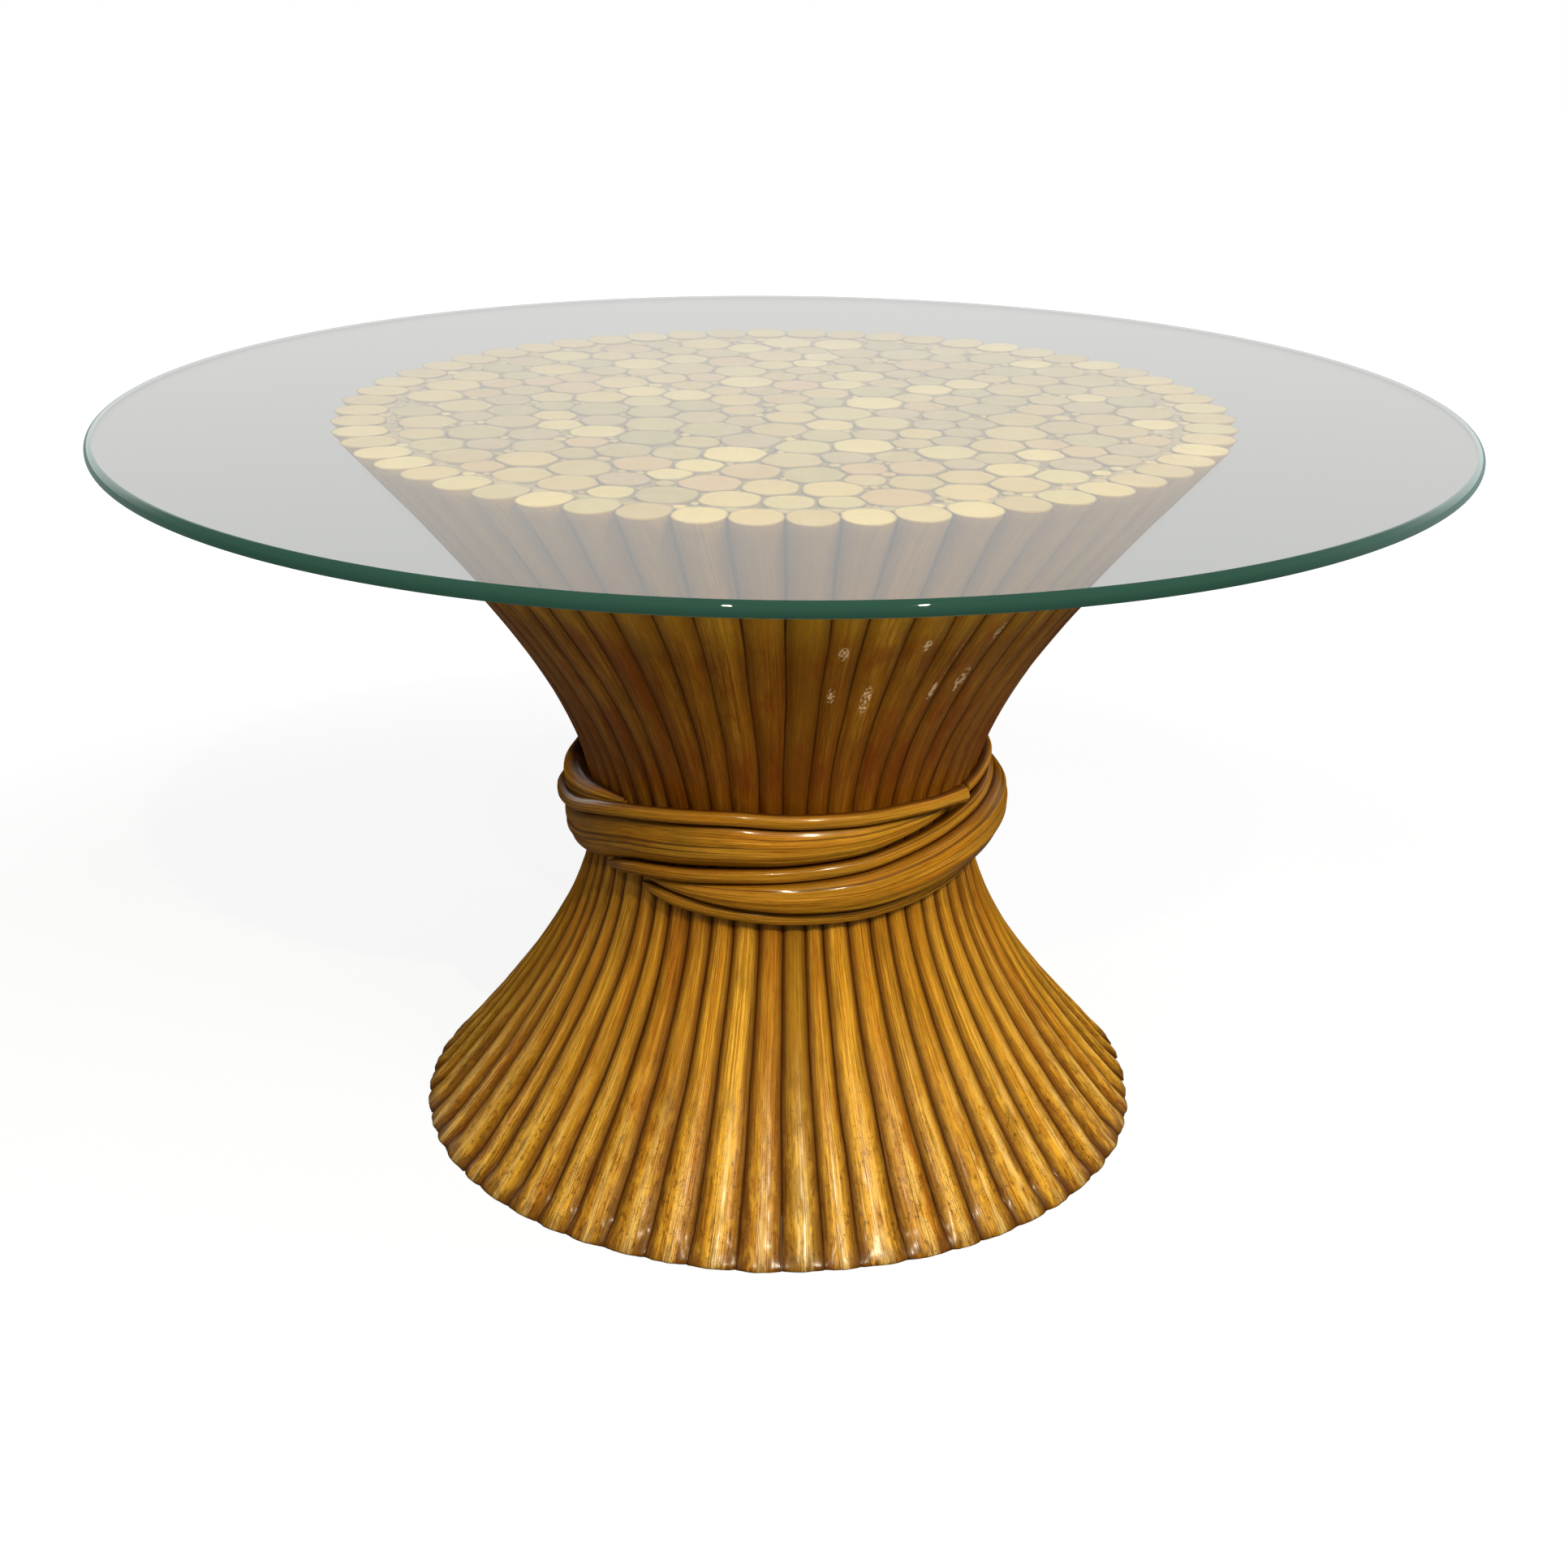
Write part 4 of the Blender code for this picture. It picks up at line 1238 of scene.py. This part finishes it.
def tip(turn, start, end):
    """Thins a strand towards its two ends."""
    near = min(turn - start, end - turn) / TIP_DEGREES
    return TIP_SHARE + (1 - TIP_SHARE) * math.sin(min(near, 1) * math.pi / 2)


def strand(name, start, end, sides, station, number, ridges):
    """A strand of the tie: station(turn) gives its height, radius, half sizes and lean at each step."""
    turns = np.linspace(start, end, math.ceil((end - start) / TIE_STEP_DEGREES) + 1)
    section = -2 * math.pi * np.arange(sides) / sides
    around = np.arctan2(np.sin(section), np.cos(section))
    points, grains = [], []
    for turn in turns:
        height, radius, half_tall, half_deep, lean = station(turn)
        angle = math.radians(turn)
        drift = DRIFT * math.sin(math.radians(DRIFT_PACE * turn)) + number
        second = SECOND_SHARE * np.sin(SECOND_RIDGES * section - SECOND_DRIFT * drift)
        ripple = 1 + ridges * (np.sin(RIDGES * section + drift) + second)
        reach = radius + half_deep * ripple * np.cos(section) + lean * half_tall * np.sin(section)
        level = height + half_tall * np.sin(section)
        points.extend(np.column_stack([math.sin(angle) * reach, -math.cos(angle) * reach, level]))
        along = angle * SHEAF["Waist Radius"]
        grains.extend(np.column_stack([around, np.full(sides, along), np.full(sides, number)]))
    mesh = mesh_from(name, points, closed_faces(0, len(turns), sides))
    mesh.shade_smooth()
    mesh.set_sharp_from_angle(angle=math.radians(SHARP_DEGREES))
    keep(mesh, "grain", grains, "FLOAT_VECTOR")
    return mesh


print("strands in steps of", TIE_STEP_DEGREES, "degrees")

# %% Stations of the strands
def band_station(turn):
    tall = half_height(turn)
    deep = tie_size(BAND_DEPTH, turn) / 2
    lean = smooth(BAND_LEAN, turn)
    height = helix(turn) + TIE_CANE_RADIUS + CLEARANCE + tall
    return height, seat(height, tall, deep, lean), tall, deep, lean


def thin_cane_station(start, end, sawn_off=False):
    """A thin cane on the helix. Its ends are tucked in and thin, or the last one is sawn off and splayed."""
    def station(turn):
        radius = TIE_CANE_RADIUS * tip(turn, start, end + TIP_DEGREES * sawn_off)
        if sawn_off:
            radius *= 1 + SPLAY * max(0, 1 - (end - turn) / SPLAY_DEGREES) ** 2
        height = helix(turn)
        return height, seat(height, radius, radius) + tie_size(CANE_STAND, turn), radius, radius, 0

    return station


def top_strand_station(turn):
    tall = tie_size(TOP_STRAND_HALF_HEIGHT, turn)
    deep = tie_size(TOP_STRAND_DEPTH, turn) / 2
    height = helix(turn + 360) + TIE_CANE_RADIUS + CLEARANCE + tall + tie_size(TOP_STRAND_LIFT, turn)
    return height, seat(height, tall, deep), tall, deep, 0


print("band at the front", [round(float(size), 4) for size in band_station(0)])

# %% Lacquer of the tie
OLIVE_PATCHES = (0.35, 0.60)
OLIVE_SHARE = 0.26
OLIVE_LEAST = 0.06
CROWN_HIGHLIGHT_AT = -0.15
CROWN_HIGHLIGHT_WIDTH = (0.95, 0.15)
CROWN_HIGHLIGHT_STREAKS = (0.46, 0.62)
CROWN_HIGHLIGHT_SHARE = 0.22


def tie_wear_and_highlight(skin, colour):
    """Split cane: olive patches, a painted highlight along the crown and dark splits along it, and nowhere
    rubbed dull.
    """
    olive = skin.between("patch", *OLIVE_PATCHES) * OLIVE_SHARE + OLIVE_LEAST
    colour = blend(olive, colour, OLIVE)
    # A painted highlight along the crown of the strand, broken by streaks
    crown_highlight = ease(abs(skin.across - CROWN_HIGHLIGHT_AT), *CROWN_HIGHLIGHT_WIDTH) * skin.between("streak", *CROWN_HIGHLIGHT_STREAKS)
    colour = blend(crown_highlight * CROWN_HIGHLIGHT_SHARE, colour, STRAW)
    return skin.paint(colour, SPLIT_COATS), 0.0


tie_skin = lacquer("lacquered_tie", shaded_valley=(0.66, 1.45), amber=0.64, sheen=(0.10, 0.24), gloss=(0.90, 0.16),
                   wear_and_light=tie_wear_and_highlight)
print("finish", tie_skin.name)

# %% The strands
BAND_RIDGES = 0.035
CANE_RIDGES = 0.02
FIRST_NUMBER = 70.0
NUMBERS_APART = 3
upper_station = thin_cane_station(UPPER_CANE_START, UPPER_CANE_END, sawn_off=True)
lower_station = thin_cane_station(WRAP_START, LOWER_CANE_END)
# Where a strand starts and ends, the sides of its section, its stations and its ridges
tie_strands = {
    "tie_band": (WRAP_START, BAND_END, 64, band_station, BAND_RIDGES),
    "tie_upper_cane": (UPPER_CANE_START, UPPER_CANE_END, 20, upper_station, CANE_RIDGES),
    "tie_lower_cane": (WRAP_START, LOWER_CANE_END, 20, lower_station, CANE_RIDGES),
    "tie_top_strand": (TOP_STRAND_START, TOP_STRAND_END, 40, top_strand_station, BAND_RIDGES),
}
tie_pieces = {}
for k, (node, (start, end, sides, station, ridges)) in enumerate(tie_strands.items()):
    mesh = strand(f"{node}_wound", start, end, sides, station, FIRST_NUMBER + NUMBERS_APART * k, ridges)
    mesh.polygons[len(mesh.polygons) - 1].material_index = int(node == "tie_upper_cane")
    tie_pieces[node] = add_piece(f"{node}_wound", mesh, tie_skin, sawn)
    print(node, "with", len(mesh.polygons), "faces")

# %% [markdown]
# ## The glass
# A loose disc of float glass with a half-round polished edge. Through its face it is nearly clear; through
# its edge one looks along the sheet, and the iron in the glass turns the light deep green. Rays inside the
# sheet would bounce dozens of times, so the edge is a finish of its own instead: a painted glow stands in
# for the light that the sheet carries, paler towards the top, the sides and the back, and it is clear from
# the inside. Lamps reach the canes through the glass by Light Path, since a refracted lamp would only make
# noise.

# %% Finishes of the glass
GLASS_TINT = (0.950, 0.985, 0.972)
GLASS_IOR = 1.5
LIGHT_TINT = (0.985, 0.995, 0.990)
EDGE_GLOW_GREEN = (0.014, 0.047, 0.030)
EDGE_GLOW_PALE = (0.024, 0.068, 0.046)
EDGE_GLOW_AT_SIDES = (0.25, 0.34, 0.335)
EDGE_BODY = (0.006, 0.018, 0.012)
SIDES_FROM = (-0.80, 0.05)
SOONER_AT_RIGHT = 0.16
glass_low, glass_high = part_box("glass_top")


def clear_glass(name):
    material, root, shader = new_finish(name)
    sizes = {"Base Color": full(GLASS_TINT), "Roughness": 0.0, "Transmission Weight": 1.0, "IOR": GLASS_IOR}
    body = lay(root, shader, sizes)
    path = light_path(root, "Is Shadow Ray")
    open_air = root.node("ShaderNodeBsdfTransparent", inputs={"Color": full(LIGHT_TINT)})
    cover(material, either(path, either(path.other("Is Diffuse Ray"), body, open_air), open_air))
    return material


def ground_edge(name):
    material, root, shader = new_finish(name)
    spot = object_place(root)
    sideways, back, height = split(spot)
    wave = noise(stretch(spot, 14, 14, 60), detail=2)
    # The edge's emission is a painted glow for the light that the sheet carries: paler towards the top, and
    # paler still round the sides and the back
    colour = blend(ease(height, glass_low.z, glass_high.z) * 0.7 + wave * 0.3, EDGE_GLOW_GREEN, EDGE_GLOW_PALE)
    to_right = (sideways / glass_high.x).math("MAXIMUM", 0.0)
    round_back = ease(back / glass_high.x + to_right * SOONER_AT_RIGHT, *SIDES_FROM)
    body = lay(root, shader, {
        "Base Color": full(EDGE_BODY),
        "Emission Color": blend(round_back, colour, EDGE_GLOW_AT_SIDES),
        "Emission Strength": 1.0,
        "Roughness": 0.026 + wave * 0.002,
        "Specular IOR Level": 0.3,
    })
    inside = root.node("ShaderNodeNewGeometry", out="Backfacing")
    open_air = root.node("ShaderNodeBsdfTransparent")
    cover(material, either(light_path(root, "Is Shadow Ray"), either(inside, body, open_air), open_air))
    return material


glass_finishes = clear_glass("clear_glass"), ground_edge("green_glass_edge")
print("finishes", [finish.name for finish in glass_finishes])

# %% The pane
GLASS_SEGMENTS = 240
GLASS_EASE = 0.0046
EASE_STEPS = 8


def pane_mesh(name):
    """A disc turned from half an outline: bottom middle, half-round edge, top middle."""
    outline = []
    for middle, start in ((glass_low.z + GLASS_EASE, -math.pi / 2), (glass_high.z - GLASS_EASE, 0.0)):
        for k in range(EASE_STEPS + 1):
            bend = start + math.pi / 2 * k / EASE_STEPS
            reach = glass_high.x - GLASS_EASE + GLASS_EASE * math.cos(bend)
            outline.append((reach, middle + GLASS_EASE * math.sin(bend)))
    turns = [2 * math.pi * i / GLASS_SEGMENTS for i in range(GLASS_SEGMENTS)]
    points = [(r * math.cos(t), r * math.sin(t), z) for r, z in outline for t in turns]
    faces = closed_faces(0, len(outline), GLASS_SEGMENTS)
    mesh = mesh_from(name, points, faces)
    mesh.polygons.foreach_set("material_index", [0] + [1] * (len(faces) - 2) + [0])
    mesh.shade_smooth()
    mesh.polygons[0].use_smooth = False
    mesh.polygons[len(faces) - 1].use_smooth = False
    return mesh


pane = add_piece("glass_pane", pane_mesh("glass_pane"), *glass_finishes)
print("glass", round(2000 * glass_high.x), "mm across")

# %% [markdown]
# ## The former inside
# Two boards, a disc and a post hold the canes from within. Only the underside of the foot board ever shows,
# between the feet. They keep the frame's solids, and get wood that reads Object coordinates, which a plain
# solid has without any unwrapping.

# %% Finishes of the former
EARLY_WOOD = (0.60, 0.44, 0.27)
LATE_WOOD = (0.47, 0.31, 0.17)
WOOD_FIBRE = (0.34, 0.22, 0.12)
WOOD_RINGS = 420.0
RING_WARP = 0.02
ZINC_DARK = (0.56, 0.56, 0.58)
ZINC_BRIGHT = (0.70, 0.70, 0.70)
BOARDS = ("top_board", "foot_board", "waist_disc", "core_post")


def softwood(name):
    material, root, shader = new_finish(name)
    spot = object_place(root)
    warp = noise(stretch(spot, 2, 16, 16), detail=2)
    rings = ((split(spot)[1] + warp * RING_WARP) * WOOD_RINGS).math("SINE")
    fibre = noise(stretch(spot, 12, 420, 420), detail=2)
    colour = blend(ease(rings, -0.6, 0.9), EARLY_WOOD, LATE_WOOD)
    lay(root, shader, {
        "Base Color": blend(ease(fibre, 0.5, 0.75) * 0.4, colour, WOOD_FIBRE),
        "Roughness": 0.68 + fibre * 0.18,
        "Normal": bump(root, fibre + rings * 0.3, 0.0004, 0.5),
    })
    return material


def zinc(name):
    material, root, shader = new_finish(name)
    bloom = noise(object_place(root), 700, detail=2)
    lay(root, shader, {
        "Base Color": blend(bloom, ZINC_DARK, ZINC_BRIGHT),
        "Metallic": 1.0,
        "Roughness": 0.28 + bloom * 0.2,
    })
    return material


board_wood = softwood("board_wood")
screw_zinc = zinc("zinc_plate")
for node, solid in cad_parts.items():
    if node in BOARDS or "screw" in node:
        for place in solid.material_slots:
            place.material = screw_zinc if "screw" in node else board_wood
print("former finished")

# %% [markdown]
# ## Handing over
# Each piece rides on its body, and the solids of the frame that it stands for are hidden.

# %% Bodies, solids and slots
for node, piece in cane_pieces.items():
    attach(piece, "base")
    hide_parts(node)
for node, piece in tie_pieces.items():
    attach(piece, "base")
    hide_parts(node)
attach(paving, "base")
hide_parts("cane_end_panel")
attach(pane, "glass")
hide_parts("glass_top")
